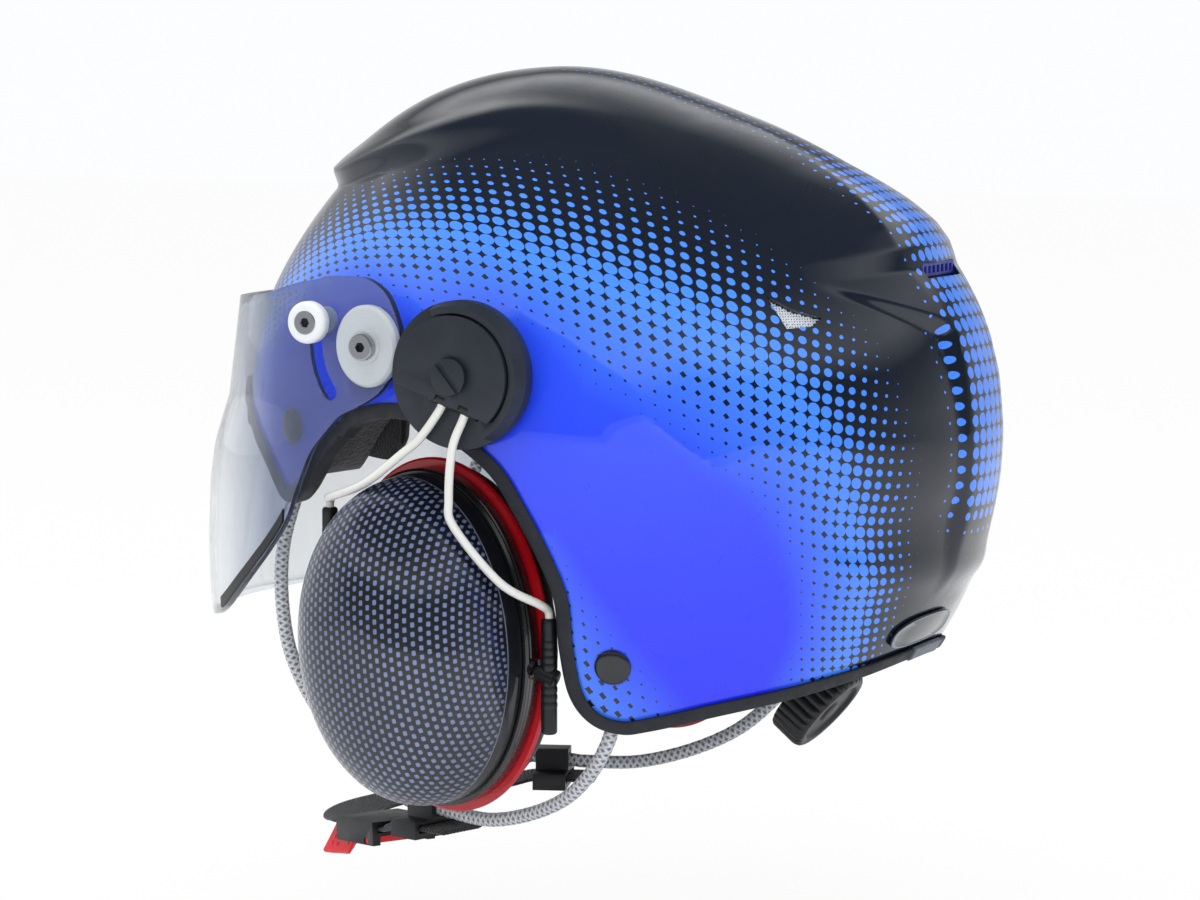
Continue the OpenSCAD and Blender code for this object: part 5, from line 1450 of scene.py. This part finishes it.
# Pale line 8 mm from the open edge: a painted highlight round the cover, with a small ridge in the bump.
line = weave.do("MULTIPLY", weave.span(edge_at, 7.9, 8.1), weave.span(edge_at, 8.6, 8.4))
patterned = weave.blend(woven, ground, tab_tone)
weave.colour(weave.blend(weave.do("MULTIPLY", line, PAINTED_HIGHLIGHT_TONE), patterned, paint(150, 162, 190)))
weave.bump(weave.do("ADD", woven, line), 0.12, 0.5)
weave.rough(weave.span(woven, 0.0, 1.0, 0.4, 0.24))
on_both("cover", cover, "cup", "cup_weave", "cup_cover", weave)
print("weave:", len(weave.tree.nodes), "nodes")

# %% [markdown]
# ## Behind the cover
# The base is a dish with a round hole for the sound port and a boss at each pin. The red
# plate stands out round it as a thin rim, which is what shows from the side.

# %% Cup base, plate and foam
BASE_W, BASE_H, HOLE_R = CUP_W + 2, CUP_H + 1.5, 14.0


def stepped(wide, high, *steps):
    """Profile of an oval body from pairs of place along X and how far it is drawn in."""
    return [[x, wide - less, high - less] for x, less in steps]


base_profile = stepped(
    BASE_W, BASE_H, (-BASE_T, 0.8), (-BASE_T + 0.8, 0), (-2.6, 0), (-2.3, 0.45), (-1.9, 0.45), (-1.6, 0),
    (-0.9, 0), (-0.15, 0.8), (-0.05, 6.4), (-0.4, 7), (-BASE_T + 2.9, 7), (-BASE_T + 2.6, 7.4))
base_profile += stepped(HOLE_R, HOLE_R, (-BASE_T + 2.6, -0.3), (-BASE_T + 2.3, 0), (-BASE_T + 0.3, 0),
                        (-BASE_T, -0.3))
bosses = [round_bar("boss", straight(pin + 5 * way, pin + 13 * way), 3.6)
          for pin, way in ((rear_pin, pin_way), (front_pin, -pin_way))]
base = gathered("base", [oval_body("dish", base_profile, loop=True)] + bosses)
smooth(base.data, 32.0)
cup_gloss = grained("cup_gloss", paint(9, 10, 13), paint(17, 18, 22), 0.24, 500.0, 0.02, Coat_Weight=0.8)
on_both("base", base, "cup", "cup_black", "cup_base", cup_gloss)
PLATE_W, PLATE_H, PLATE_BACK = CUP_W + 5, CUP_H + 4.5, -BASE_T - RING_T - 0.1
PLATE_FRONT = PLATE_BACK + RING_T
plate_profile = stepped(
    PLATE_W, PLATE_H, (PLATE_BACK, 0.7), (PLATE_BACK + 0.7, 0), (PLATE_FRONT - 0.7, 0), (PLATE_FRONT, 0.7),
    (PLATE_FRONT, 12.7), (PLATE_FRONT - 0.3, 13), (PLATE_BACK + 0.3, 13), (PLATE_BACK, 12.7))
cup_red = grained("cup_red", paint(168, 4, 20), paint(196, 10, 30), 0.3, 600.0, 0.03, Coat_Weight=0.4)
plate = oval_body("plate", plate_profile, loop=True)
on_both("plate", plate, "cup", "cup_red", "cup_ring", cup_red)
FOAM_W, FOAM_H = CUP_W - 8.6, CUP_H - 9.1
steps = np.linspace(1.0, 0.04, 26)
foam_face = [[-BASE_T - 0.3 - 0.25 * (1 - s**6), FOAM_W * s, FOAM_H * s] for s in steps]
foam_back = [[-BASE_T - 2.6 + 0.5 * s**8, FOAM_W * s, FOAM_H * s] for s in steps[::-1]]
foam = oval_body("foam", foam_back + foam_face)
foam_finish = Finish("open_foam", paint(58, 60, 64), 0.9, Sheen_Weight=0.3)
pores = foam_finish.cells(900.0)
foam_finish.tones(pores, paint(22, 23, 26), paint(74, 76, 80), 0.1, 0.6)
foam_finish.bump(pores, 0.35, 0.9)
for piece in on_both("foam", foam, "cup", "foam_grey", "ear_foam", foam_finish):
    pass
print("cup rings ready")

# %% [markdown]
# ## Ear cushions
# A soft ring covered in leatherette seals round the ear. Its section is a swollen oval
# carried round a larger oval; small folds run across it where the cover is drawn in on
# the inside, and a sewn groove runs round its outer shoulder.

# %% Ear cushions
CUSHION_X, CUSHION_A, CUSHION_B, CUSHION_R, CUSHION_T = -16.85, 30.75, 48.75, 7.25, 6.0
CUSHION_AROUND, CUSHION_SIDES, CUSHION_FULL = 300, 60, 0.86
WRINKLE_HIGH, GROOVE_DEEP, WELT_HIGH = 0.55, 0.7, 0.45


def folds(g, s, seed, waves):
    """Sum of slanted sine waves with whole turns round both angles, as a fold pattern."""
    dice = np.random.default_rng(seed)
    total = np.zeros(np.broadcast(g, s).shape)
    for n in waves:
        m, phase, share = dice.integers(-3, 4), dice.uniform(0, 2 * np.pi), dice.uniform(0.5, 1)
        total += share * np.sin(n * g + m * s + phase)
    return total / len(waves)


g, s = turns(CUSHION_AROUND)[:, None], turns(CUSHION_SIDES)[None, :]


def line_at(angle, wide):
    """Bell-shaped line that runs all round the ring at this angle of its section."""
    return bell(np.angle(np.exp(1j * (s - np.radians(angle)))), 0, wide)


inward = 0.5 - 0.5 * np.sin(s)
wrinkle = folds(g, s, 4, (23, 31, 41, 57)) * (0.2 + 0.8 * inward**2) * WRINKLE_HIGH
sewn = WELT_HIGH * line_at(48, 0.1) - GROOVE_DEEP * line_at(62, 0.07)
swollen = 1 + (wrinkle + sewn) / CUSHION_R
radial = CUSHION_R * power(np.sin(s), CUSHION_FULL) * swollen
rings = np.stack([CUSHION_X + CUSHION_T * power(np.cos(s), CUSHION_FULL) * swollen + 0 * g,
                  (CUSHION_A + radial) * np.cos(g), (CUSHION_B + radial) * np.sin(g)], -1)
cushion = tube("cushion", cup_world(rings), loop=True)
leather = Finish("leatherette", paint(18, 18, 21), 0.46, Sheen_Weight=0.15)
pebbles = leather.cells(1500.0)
leather.tones(pebbles, paint(9, 9, 11), paint(27, 27, 31), 0.1, 0.5)
leather.bump(leather.do("ADD", pebbles, leather.noise(500.0, 3.0)), 0.16, 0.7)
leather.wear(0.36, 0.56, 130.0)
for piece in on_both("cushion", cushion, "cup", "cushion_black", "ear_cushion", leather):
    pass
print("cushion:", len(cushion.data.polygons), "faces")

# %% [markdown]
# ## Rivets and plaque
# Black domed rivets hold the strap cords at the cheek and behind the ear. A small
# oval plaque sits over the nape; it is left bare, with a thin pale line round its edge.
# Its outline on the form is a squared-off ellipse, in steps of share and height.

# %% Rivets and plaque
CAP = np.array([[-9.5, 0.4], [-9.5, 2.3], [-9.3, 2.5], [0.02, 2.5], [0.1, 2.7], [0.1, 5.5], [0.2, 5.9],
                [0.4, 6.0], [0.8, 5.95], [1.15, 5.7], [1.5, 5.1], [1.8, 4.2], [2.0, 3.1], [2.08, 1.8],
                [2.1, 0.3]])
caps = gathered("caps", [turned("cap", CAP, *axes_on(d)) for d in (FRONT_RIVET, REAR_RIVET)])
rivets = pair("strap_rivets_piece", caps)
smooth(rivets.data, 44.0)
dress(place(rivets, "helmet", "rivet_black", "strap_rivets"), cap_black)
BADGE_T, BADGE_Q, BADGE_HALF, BADGE_HIGH, BADGE_SIDES = 171.75, -27.6, 10.65, 2.5, 120
BADGE_STEPS = np.array([[0.02, 0.5], [0.98, 0.5], [1.0, 0.6], [1.0, 1.3], [0.985, 1.45], [0.93, 1.5],
                        [0.915, 1.42], [0.89, 1.3], [0.6, 1.4], [0.3, 1.45], [0.02, 1.45]])
c, k = power(around(turns(BADGE_SIDES)), 0.72).T
share, off = BADGE_STEPS.T[:, :, None]
badge_t, badge_q = BADGE_T + BADGE_HALF * share * c, BADGE_Q + BADGE_HIGH * share * k
badge = tube("size_badge_piece", form(badge_t, badge_q, off))
pale_rim = grained("plaque_rim", paint(120, 128, 146), paint(150, 158, 176), 0.35, 900.0, 0.02)
plaque_gloss = grained("plaque_gloss", paint(9, 11, 17), paint(17, 20, 29), 0.16, 300.0, 0.01,
                       Coat_Weight=1.0)
dress(badge, plaque_gloss)
badge.data.materials.append(pale_rim.mat)
band = np.arange(len(badge.data.polygons)) // BADGE_SIDES
badge.data.polygons.foreach_set("material_index", ((band >= 4) & (band < 6)).astype(np.int32))
place(badge, "helmet", "badge_black", "size_badge")
print("rivets and plaque ready")

# %% [markdown]
# ## Vent gauze and grille
# Behind each side window lies a fine woven gauze, pale enough to show as a bright field.
# Each wire is cut to the part of its line that is inside the window's outline, and
# passes over and under its neighbours along a sine.

# %% Vent gauze and grille
GAUZE_PITCH, GAUZE_R, GAUZE_DEEP, GAUZE_WAVE, GAUZE_LEAST = 0.92, 0.3, -2.4, 0.22, 1.2


def inside_span(outline, at, axis):
    """Lowest and highest crossing of an outline with the line coordinate[axis] = at."""
    a, b = outline, np.roll(outline, -1, axis=0)
    hit = (a[:, axis] - at) * (b[:, axis] - at) < 0
    a, b = a[hit], b[hit]
    k = (at - a[:, axis]) / (b[:, axis] - a[:, axis])
    cross = a[:, 1 - axis] + k * (b[:, 1 - axis] - a[:, 1 - axis])
    return (cross.min(), cross.max()) if len(cross) else (0.0, 0.0)


def gauze(name, d):
    """Woven wires over a window at direction d, cut to its outline."""
    origin, ex, ey, n = axes_on(d)
    wires = []
    for axis in (0, 1):
        low, high = WINDOW[:, axis].min(), WINDOW[:, axis].max()
        for k, at in enumerate(np.arange(low + 0.3, high - 0.1, GAUZE_PITCH)):
            first, last = inside_span(WINDOW, at, axis)
            if last - first < GAUZE_LEAST:
                continue
            run = np.arange(first + 0.2, last - 0.15, GAUZE_PITCH / 3)
            wave = GAUZE_WAVE * np.sin(np.pi * (run / GAUZE_PITCH + k + axis))
            one, other = (ex, ey) if axis == 0 else (ey, ex)
            path = origin + at * one + run[:, None] * other + (GAUZE_DEEP + wave)[:, None] * n
            wires.append(tube("gauze_wire", carried(path, ring_of(GAUZE_R, 6), n)))
    return gathered(name, wires)


gauzes = pair("side_gauzes", gauze("gauze", VENT))
smooth(gauzes.data, 60.0)
gauze_paint = grained("gauze_paint", paint(214, 220, 230), paint(240, 243, 248), 0.4, 2000.0, 0.02)
dress(place(gauzes, "helmet", "mesh_pale", "side_vent_meshes"), gauze_paint)
vent_plastic = grained("vent_plastic", paint(26, 38, 130), paint(40, 56, 170), 0.4, 1500.0, 0.03)
dress(place(finished("rear_vent_grille", 0.3), "helmet", "vent_blue", "rear_vent_grille"), vent_plastic)
print("gauze:", len(gauzes.data.polygons), "faces")

# %% [markdown]
# ## Liner
# An energy-taking foam liner fills the shell and is covered with dark knitted cloth. It
# is the same net of directions as the shell, drawn in by its gap and its thickness, with
# a rounded edge, and with bores where the cords' anchors pass through it.

# %% Liner
LINER_FAR, LINER_NEAR, LINER_COLS, BORE_R = -4.3, -25.5, 180, 6.0
liner_shares = np.concatenate([[0.0], np.linspace(0.012, 0.985, 34)])
t_l, q_l = net(LINER_COLS, liner_shares)
LIP = np.array([-24.9, -23.6, -21.4, -12.0, -7.4, -5.4, -4.7])
lip_rings = np.stack([form(t_l[0], q_l[0], off) for off in LIP])
liner = tube("liner", np.concatenate([form(t_l[1:], q_l[1:], LINER_NEAR)[::-1], lip_rings,
                                      form(t_l[1:], q_l[1:], LINER_FAR)]))
bores = []
for d, aim in ((FRONT_RIVET, FRONT_AIM), (REAR_RIVET, REAR_AIM)):
    start = anchor_at(d)
    line = np.stack([start, start + 60 * unit(aim - start)])
    bores.append(tube("bore", carried(line, ring_of(BORE_R, 40), X)))
    bores.append(mirrored(bores[-1], "bore_twin"))
cut(liner, *bores)
smooth(liner.data, 50.0)
knit = Finish("liner_knit", paint(44, 46, 50), 0.9, Sheen_Weight=0.4, Sheen_Roughness=0.5)
stitches = knit.cells(700.0)
knit.tones(stitches, paint(24, 25, 28), paint(66, 68, 73), 0.05, 0.6)
knit.bump(knit.do("ADD", stitches, knit.noise(2200.0, 2.0)), 0.4, 0.8)
dress(place(liner, "helmet", "liner_grey", "eps_liner"), knit)
print("liner:", len(liner.data.polygons), "faces")

# %% [markdown]
# ## Comfort pads
# Sewn pads of soft foam sit on the liner: one across the brow, one on the crown and one
# at each cheek. Each swells between its sewn edges, and quilting lines draw it in. The
# height of a pad is its thickness times a root that falls off steeply at the edge.

# %% Comfort pads
PAD_FAR, PAD_T = -26.9, 8.0


def swell(u, n=4.0, least=0.3):
    """Root of 1 - |u|^n, but never less than the given share."""
    return np.maximum(least, np.clip(1 - np.abs(u)**n, 0, None)**0.5)


def quilted(u, lines, deep=0.2, wide=0.035):
    """Share left of a pad's height near sewn lines."""
    return 1 - deep * sum(bell(u, k, wide) for k in lines)


def pad_on_form(name, t0, t1, q0, q1, seams, cols=150):
    """Closed pad over a patch of the form: the liner side flat, the head side swollen."""
    u = np.linspace(-1, 1, cols)[:, None]
    v = np.linspace(1, -1, 26)[None, :]
    t, mid = mix(t0, t1, (u + 1) / 2), (q0 + q1) / 2
    half = (q1 - q0) / 2 * np.maximum(0.6, swell(u, 6, 0.0))
    puff = swell(u) * swell(v) * quilted(u, seams) * quilted(v, (0.0,), 0.1)
    puff = puff + 0.03 * folds(9 * u, 7 * v, 11, (3, 5, 7)) * swell(v)
    far = form(t + 0 * v, mid + half * v, PAD_FAR)
    near = form(t + 0 * v, mid + half * v * 0.94, PAD_FAR - PAD_T * puff)
    return tube(name, np.concatenate([far, near[:, ::-1]], 1))


pad_cloth = Finish("pad_cloth", paint(22, 23, 26), 0.88, Sheen_Weight=0.5, Sheen_Roughness=0.45)
loops = pad_cloth.cells(1100.0)
pad_cloth.tones(loops, paint(11, 11, 13), paint(37, 38, 42), 0.05, 0.6)
pad_cloth.bump(pad_cloth.do("ADD", loops, pad_cloth.noise(2600.0, 2.0)), 0.25, 0.8)
brow = pad_on_form("brow_pad_piece", -40, 40, 9, 25, (-0.66, -0.33, 0, 0.33, 0.66))
cheek = pad_on_form("left_cheek_pad_piece", 42, 63, -5.5, 6, (-0.3, 0.35), 60)
other_cheek = mirrored(cheek, "right_cheek_pad_piece")
ring_t = np.arange(120)[None, :] * 3.0
CROWN_TOP, CROWN_NEAR, CROWN_FAR = 89.3, 64.8, 64.3
near_q = np.linspace(CROWN_TOP, CROWN_NEAR, 40)[:, None]
far_q = np.linspace(CROWN_FAR, CROWN_TOP, 10)[:, None]
k = (near_q - CROWN_NEAR) / (CROWN_TOP - CROWN_NEAR)
spokes = bell(np.abs(np.sin(np.radians(ring_t * 3))), 0, 0.12) * (1 - k)**0.5
dome_pad = np.sqrt(np.clip(1 - (1 - k)**5, 0.08, 1)) * quilted(k, (0.55,), 0.16) * (1 - 0.14 * spokes)
crown = tube("crown_pad_piece", np.concatenate([form(ring_t, near_q, PAD_FAR - PAD_T * dome_pad),
                                                form(ring_t + 0 * far_q, far_q, PAD_FAR)]))
for piece, node in ((brow, "brow_pad"), (crown, "crown_pad"), (cheek, "left_cheek_pad"),
                    (other_cheek, "right_cheek_pad")):
    smooth(piece.data, 70.0)
    dress(place(piece, "helmet", "pad_black", node), pad_cloth)
print("pads ready")

# %% [markdown]
# ## Chin webbing
# Flat black webbing runs from the slide on each side to the buckle. It is 20 mm wide and
# 1.8 mm thick with rounded selvedges; the long right part goes under the chin.

# %% Chin webbing
WEB_W, WEB_T, WEB_DROP, SELVEDGE_R, RIB_PITCH = 20.0, 1.8, -6.6, 0.55, 1.6
web_z = slide_mid[2] + WEB_DROP


def web_p(x, y, z):
    """Point of the webbing's route, with z counted from the slide."""
    return np.array([x, y, web_z + z])


buckle_a, buckle_b = web_p(43.5, -64, -3.2), web_p(29.5, -87, -5)
buckle_way = unit(buckle_b - buckle_a)
left_route = np.stack([web_p(54.5, -36, 0), web_p(49.5, -51, 0), web_p(47.2, -58, 0),
                       buckle_a - 2 * buckle_way, buckle_a + 3 * buckle_way])
right_route = np.stack([web_p(*p) for p in (
    (-54.5, -36, 0), (-49.5, -51, 0), (-47.2, -58, 0), (-42.5, -67, -2.2), (-35, -79.5, -4),
    (-27, -90, -5.4), (-19.5, -97.3, -6.2), (-10, -101.6, -6.8), (0, -103, -7), (10.5, -101.6, -7),
    (19.8, -97.4, -6.6))]
    + [buckle_b + k * buckle_way for k in (5, 3, 1)])
edge = np.radians(np.linspace(-90, 90, 9))
selvedge = [WEB_W / 2 - SELVEDGE_R, 0] + SELVEDGE_R * around(edge)
ribs_x = np.linspace(WEB_W / 2 - 1.3, -WEB_W / 2 + 1.3, 37)
ribs = np.stack([ribs_x, WEB_T / 2 - 0.14 + 0.1 * np.cos(2 * np.pi * ribs_x / RIB_PITCH)], -1)
outline = np.concatenate([selvedge, ribs, -selvedge, -ribs])
weave_cloth = Finish("webbing_weave", paint(20, 21, 24), 0.7, Sheen_Weight=0.3)
run = weave_cloth.parts(weave_cloth.cloth())
warp = weave_cloth.do("SINE", weave_cloth.do("MULTIPLY", run[0], 3.9))
weft = weave_cloth.do("SINE", weave_cloth.do("MULTIPLY_ADD", run[1], 4.6, warp))
both_ways = weave_cloth.do("MULTIPLY", warp, weft)
weave_cloth.tones(both_ways, paint(9, 9, 11), paint(40, 41, 46), -1, 1)
weave_cloth.bump(both_ways, 0.2, 0.9)
for name, route in (("left_chin_strap", left_route), ("right_chin_strap", right_route)):
    strap = tube(name + "_piece", carried(evenly(curve_through(route, 10), 1.6), outline, Z))
    smooth(strap.data, 60.0)
    dress(place(strap, "helmet", "webbing_black", name), weave_cloth)
print("webbing ready")

# %% [markdown]
# ## Nape cradle
# A band behind the head slides in two guides and is drawn in by a dial. The dial is a
# turned knob with ribs for the fingers: its radius carries a rectified sine of the angle
# where the wall is straight.

# %% Nape cradle
DIAL_AT, DIAL_TILT = np.array([0.0, 73.0, -100.0]), np.radians(-130.0)
DIAL_RIBS, DIAL_RIB_DEEP = 15, 0.9
DIAL = np.array([[-6.5, 0.4], [-6.5, 14.9], [-6.3, 15.7], [-5.8, 16.3], [-5.0, 16.5], [3.6, 16.5],
                 [4.8, 16.3], [5.7, 15.8], [6.3, 15.0], [6.5, 14.2], [6.5, 12.6], [6.3, 12.1], [5.5, 11.7],
                 [5.3, 11.2], [5.3, 5.0], [5.5, 4.4], [5.9, 4.0], [6.1, 3.2], [6.1, 0.4]])
a = turns(240)
rib = np.abs(np.sin(a * DIAL_RIBS))**0.6
wall = ease(14.0, 16.3, DIAL[:, 1:])
radius = DIAL[:, 1:] - DIAL_RIB_DEEP * wall * (1 - rib)
local = np.stack([radius * np.cos(a), radius * np.sin(a), DIAL[:, :1] + 0 * a], -1)
c, k = np.cos(DIAL_TILT), np.sin(DIAL_TILT)
turn = np.array([[1, 0, 0], [0, c, -k], [0, k, c]])
dial = tube("nape_dial_piece", DIAL_AT + local @ turn.T)
smooth(dial.data, 42.0)
dial_plastic = grained("dial_plastic", paint(14, 15, 18), paint(27, 29, 33), 0.42, 1600.0, 0.05)
dress(place(dial, "dial", "cradle_black", "nape_dial"), dial_plastic)
dress(place(finished("nape_cradle", 0.4), "cradle", "cradle_black", "nape_cradle"), moulded)
NAPE_W, NAPE_L, NAPE_Y, NAPE_Z, NAPE_GAP, NAPE_T, NAPE_HALF = 58, 20, 46, -83, 2.3, 2.75, 6.0
g = np.radians(np.linspace(58, 122, 90))[:, None]
u, s = np.linspace(-1, 1, 90)[:, None], turns(40)[None, :]
puff = swell(u) * quilted(u, (-0.5, 0.0, 0.5), 0.25, 0.05) + 0.04 * folds(6 * u, s, 7, (2, 3, 5))
r = -NAPE_GAP - NAPE_T * puff * (1 - power(np.cos(s), 0.7))
high = -NAPE_HALF * power(np.sin(s), 0.7) * np.maximum(0.85, swell(u, 8, 0.0))
nape_rings = np.stack([(NAPE_W + r) * np.cos(g), NAPE_Y + (NAPE_L + r) * np.sin(g)**1.1, NAPE_Z + high], -1)
nape = tube("nape_pad_piece", nape_rings)
smooth(nape.data, 70.0)
dress(place(nape, "cradle", "pad_black", "nape_pad"), pad_cloth)
print("cradle ready")

# %% [markdown]
# ## Buckle lever
# The buckle opens by a red lever. Its frame is the CAD one; its pull tab is soft plastic,
# so it is made anew as a strip that narrows behind a square hole, widens to its end and
# twists on the way. Its sections turn about the strip's own line.

# %% Buckle lever
BUCKLE_LONG = float(np.linalg.norm(buckle_b - buckle_a))
buckle_y = unit(np.cross(Z, buckle_way))
buckle_z = np.cross(buckle_way, buckle_y)
TAB_FROM, TAB_LONG, TAB_THICK, TAB_TWIST = BUCKLE_LONG - 2.4, 25.6, 1.9, np.radians(-56.0)
TAB_HALF, TAB_NECK, TAB_FLARE, TAB_LOW, TAB_SAG = 5.3, 1.3, 0.9, 4.1, 4.4
HOLE_HALF, HOLE_SHARE = [2.6, 2.4], 0.36


def in_buckle(p):
    """Points given along the buckle, across it and up from it."""
    p = np.asarray(p, float)
    return buckle_a + p[..., :1] * buckle_way + p[..., 1:2] * buckle_y + p[..., 2:3] * buckle_z


lever_frame = finished("buckle_lever", 0.0)
cutter = prism("tab_cutter", box(-12, 12, -16, 6), buckle_a, buckle_y, buckle_z, buckle_way,
               BUCKLE_LONG + 0.2, BUCKLE_LONG + 40)
cut(lever_frame, cutter)
run = np.linspace(0, 1, 60)
half_wide = TAB_HALF - TAB_NECK * bell(run, 0.16, 0.14) + TAB_FLARE * ease(0.4, 1.0, run)
twist = TAB_TWIST * ease(0.02, 0.45, run)
corner = np.radians(np.linspace(-90, 90, 7))
across, thick = (np.concatenate([side, -side]) for side in (1 - 0.1 * (1 - np.cos(corner)),
                                                            TAB_THICK / 2 * np.sin(corner)))
flat_at = half_wide[:, None] * across
section_y = flat_at * np.cos(twist)[:, None] - thick * np.sin(twist)[:, None]
section_z = flat_at * np.sin(twist)[:, None] + thick * np.cos(twist)[:, None]
sag = -TAB_LOW - TAB_SAG * ease(0.0, 0.4, run)
stations = np.repeat((TAB_FROM + TAB_LONG * run)[:, None], len(thick), 1)
pull = tube("pull_tab", in_buckle(np.stack([stations, section_y, section_z + sag[:, None]], -1)))


def tab_axes(share):
    """Middle of the strip at a share of its length, the way across it and its normal."""
    k = int(share * len(run))
    wide = np.cos(twist[k]) * buckle_y + np.sin(twist[k]) * buckle_z
    return in_buckle([TAB_FROM + TAB_LONG * run[k], 0.0, sag[k]]), wide, np.cross(buckle_way, wide)


mid, wide, normal = tab_axes(HOLE_SHARE)
square_hole = HOLE_HALF * power(around(turns(40)), 0.5)
cut(pull, prism("tab_hole", square_hole, mid, buckle_way, wide, normal, -6, 6))
STUD = np.array([[-1.25, 0.2], [-1.2, 0.7], [-0.95, 1.0], [0.95, 1.0], [1.2, 0.7], [1.25, 0.2]])
studs = []
for share, aside in ((0.7, -0.4), (0.7, 0.05), (0.7, 0.5), (0.86, -0.45), (0.86, 0.0), (0.86, 0.45)):
    mid, wide, normal = tab_axes(share)
    mid = mid + aside * half_wide[int(share * len(run))] * wide
    studs.append(turned("stud", STUD, mid, buckle_way, wide, normal, 20))
lever = gathered("buckle_lever_piece", [lever_frame, pull] + studs)
smooth(lever.data, 40.0)
dress(place(lever, "lever", "lever_red", "buckle_lever"), red_plastic)
print("pull tab is", TAB_LONG, "mm long")

# %% [markdown]
# ## Light and floor
# The picture has a white ground and soft light from all round, brightest above. The
# world gives that: what the camera and glass see of it is white, and what lights the
# object is plain and even. Mirrors see three pale parts instead: a band above the
# horizon, the side beyond the helmet and what lies ahead of the face. Two large soft
# lamps shape the highlights, and the floor is mostly light of its own to the camera.

# %% Light and floor
AMBIENT, SKY_COLOUR, FLOOR_Z, FLOOR_SIZE, FLOOR_GLOW = 0.66, (0.97, 0.985, 1.0, 1.0), -0.19, 12, 0.94
world = bpy.data.worlds.new("studio")
bpy.context.scene.world = world
sky = Wiring(world)
ray = sky.add("LightPath").outputs
to_x, to_y, to_z = sky.parts(sky.add("TexCoord").outputs["Generated"])
band = sky.do("MULTIPLY", sky.span(to_z, 0.36, 0.5, 0.0, 0.95), sky.span(to_z, 0.56, 0.8, 1.0, 0.12))
beyond = sky.do("MULTIPLY", sky.span(to_x, 0.25, -0.6, 0.12, 0.62), sky.span(to_z, 0.12, 0.38, 1.0, 0.14))
ahead = sky.span(to_y, -0.58, -0.9, 0.0, 0.9)
mirror_sky = sky.do("MAXIMUM", sky.do("MAXIMUM", band, beyond), ahead)
clear = sky.do("MAXIMUM", ray["Is Camera Ray"], ray["Is Transmission Ray"])
lit_by = sky.blend(ray["Is Glossy Ray"], AMBIENT, mirror_sky, "FLOAT")
backdrop = sky.tree.nodes["Background"]
sky.put(backdrop, "Strength", sky.blend(clear, lit_by, 1.0, "FLOAT"))
sky.put(backdrop, "Color", SKY_COLOUR)


def softbox(name, where, size, energy):
    """Soft rectangular lamp that looks at the helmet and isn't seen in mirrors."""
    lamp = bpy.data.lights.new(name, "AREA")
    lamp.shape, lamp.size, lamp.size_y, lamp.energy = "RECTANGLE", size[0], size[1], energy
    stand = linked(name, lamp)
    stand.location, stand.rotation_mode = Vector(where), "QUATERNION"
    stand.rotation_quaternion = (-Vector(where)).to_track_quat("-Z", "Y")
    stand.visible_glossy = False


softbox("lamp_above", (0.5, -0.3, 2.4), (2.6, 2.0), 42.0)
softbox("lamp_side", (2.6, 1.3, 0.9), (1.8, 1.6), 20.0)
bpy.ops.mesh.primitive_plane_add(size=FLOOR_SIZE, location=(0, 0, FLOOR_Z))
floor = bpy.context.object
floor.name = "floor"
floor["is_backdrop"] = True
pale = Finish("pale_floor", (0.93, 0.93, 0.93, 1.0), 0.9)
glow = pale.do("MULTIPLY", pale.add("LightPath").outputs["Is Camera Ray"], FLOOR_GLOW)
pale.end(pale.add("MixShader", {0: glow, 1: pale.shader.outputs[0], 2: pale.add("Emission").outputs[0]}))
dress(floor, pale)
bpy.context.scene.view_settings.view_transform = "Standard"

# %% Finish
low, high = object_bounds()
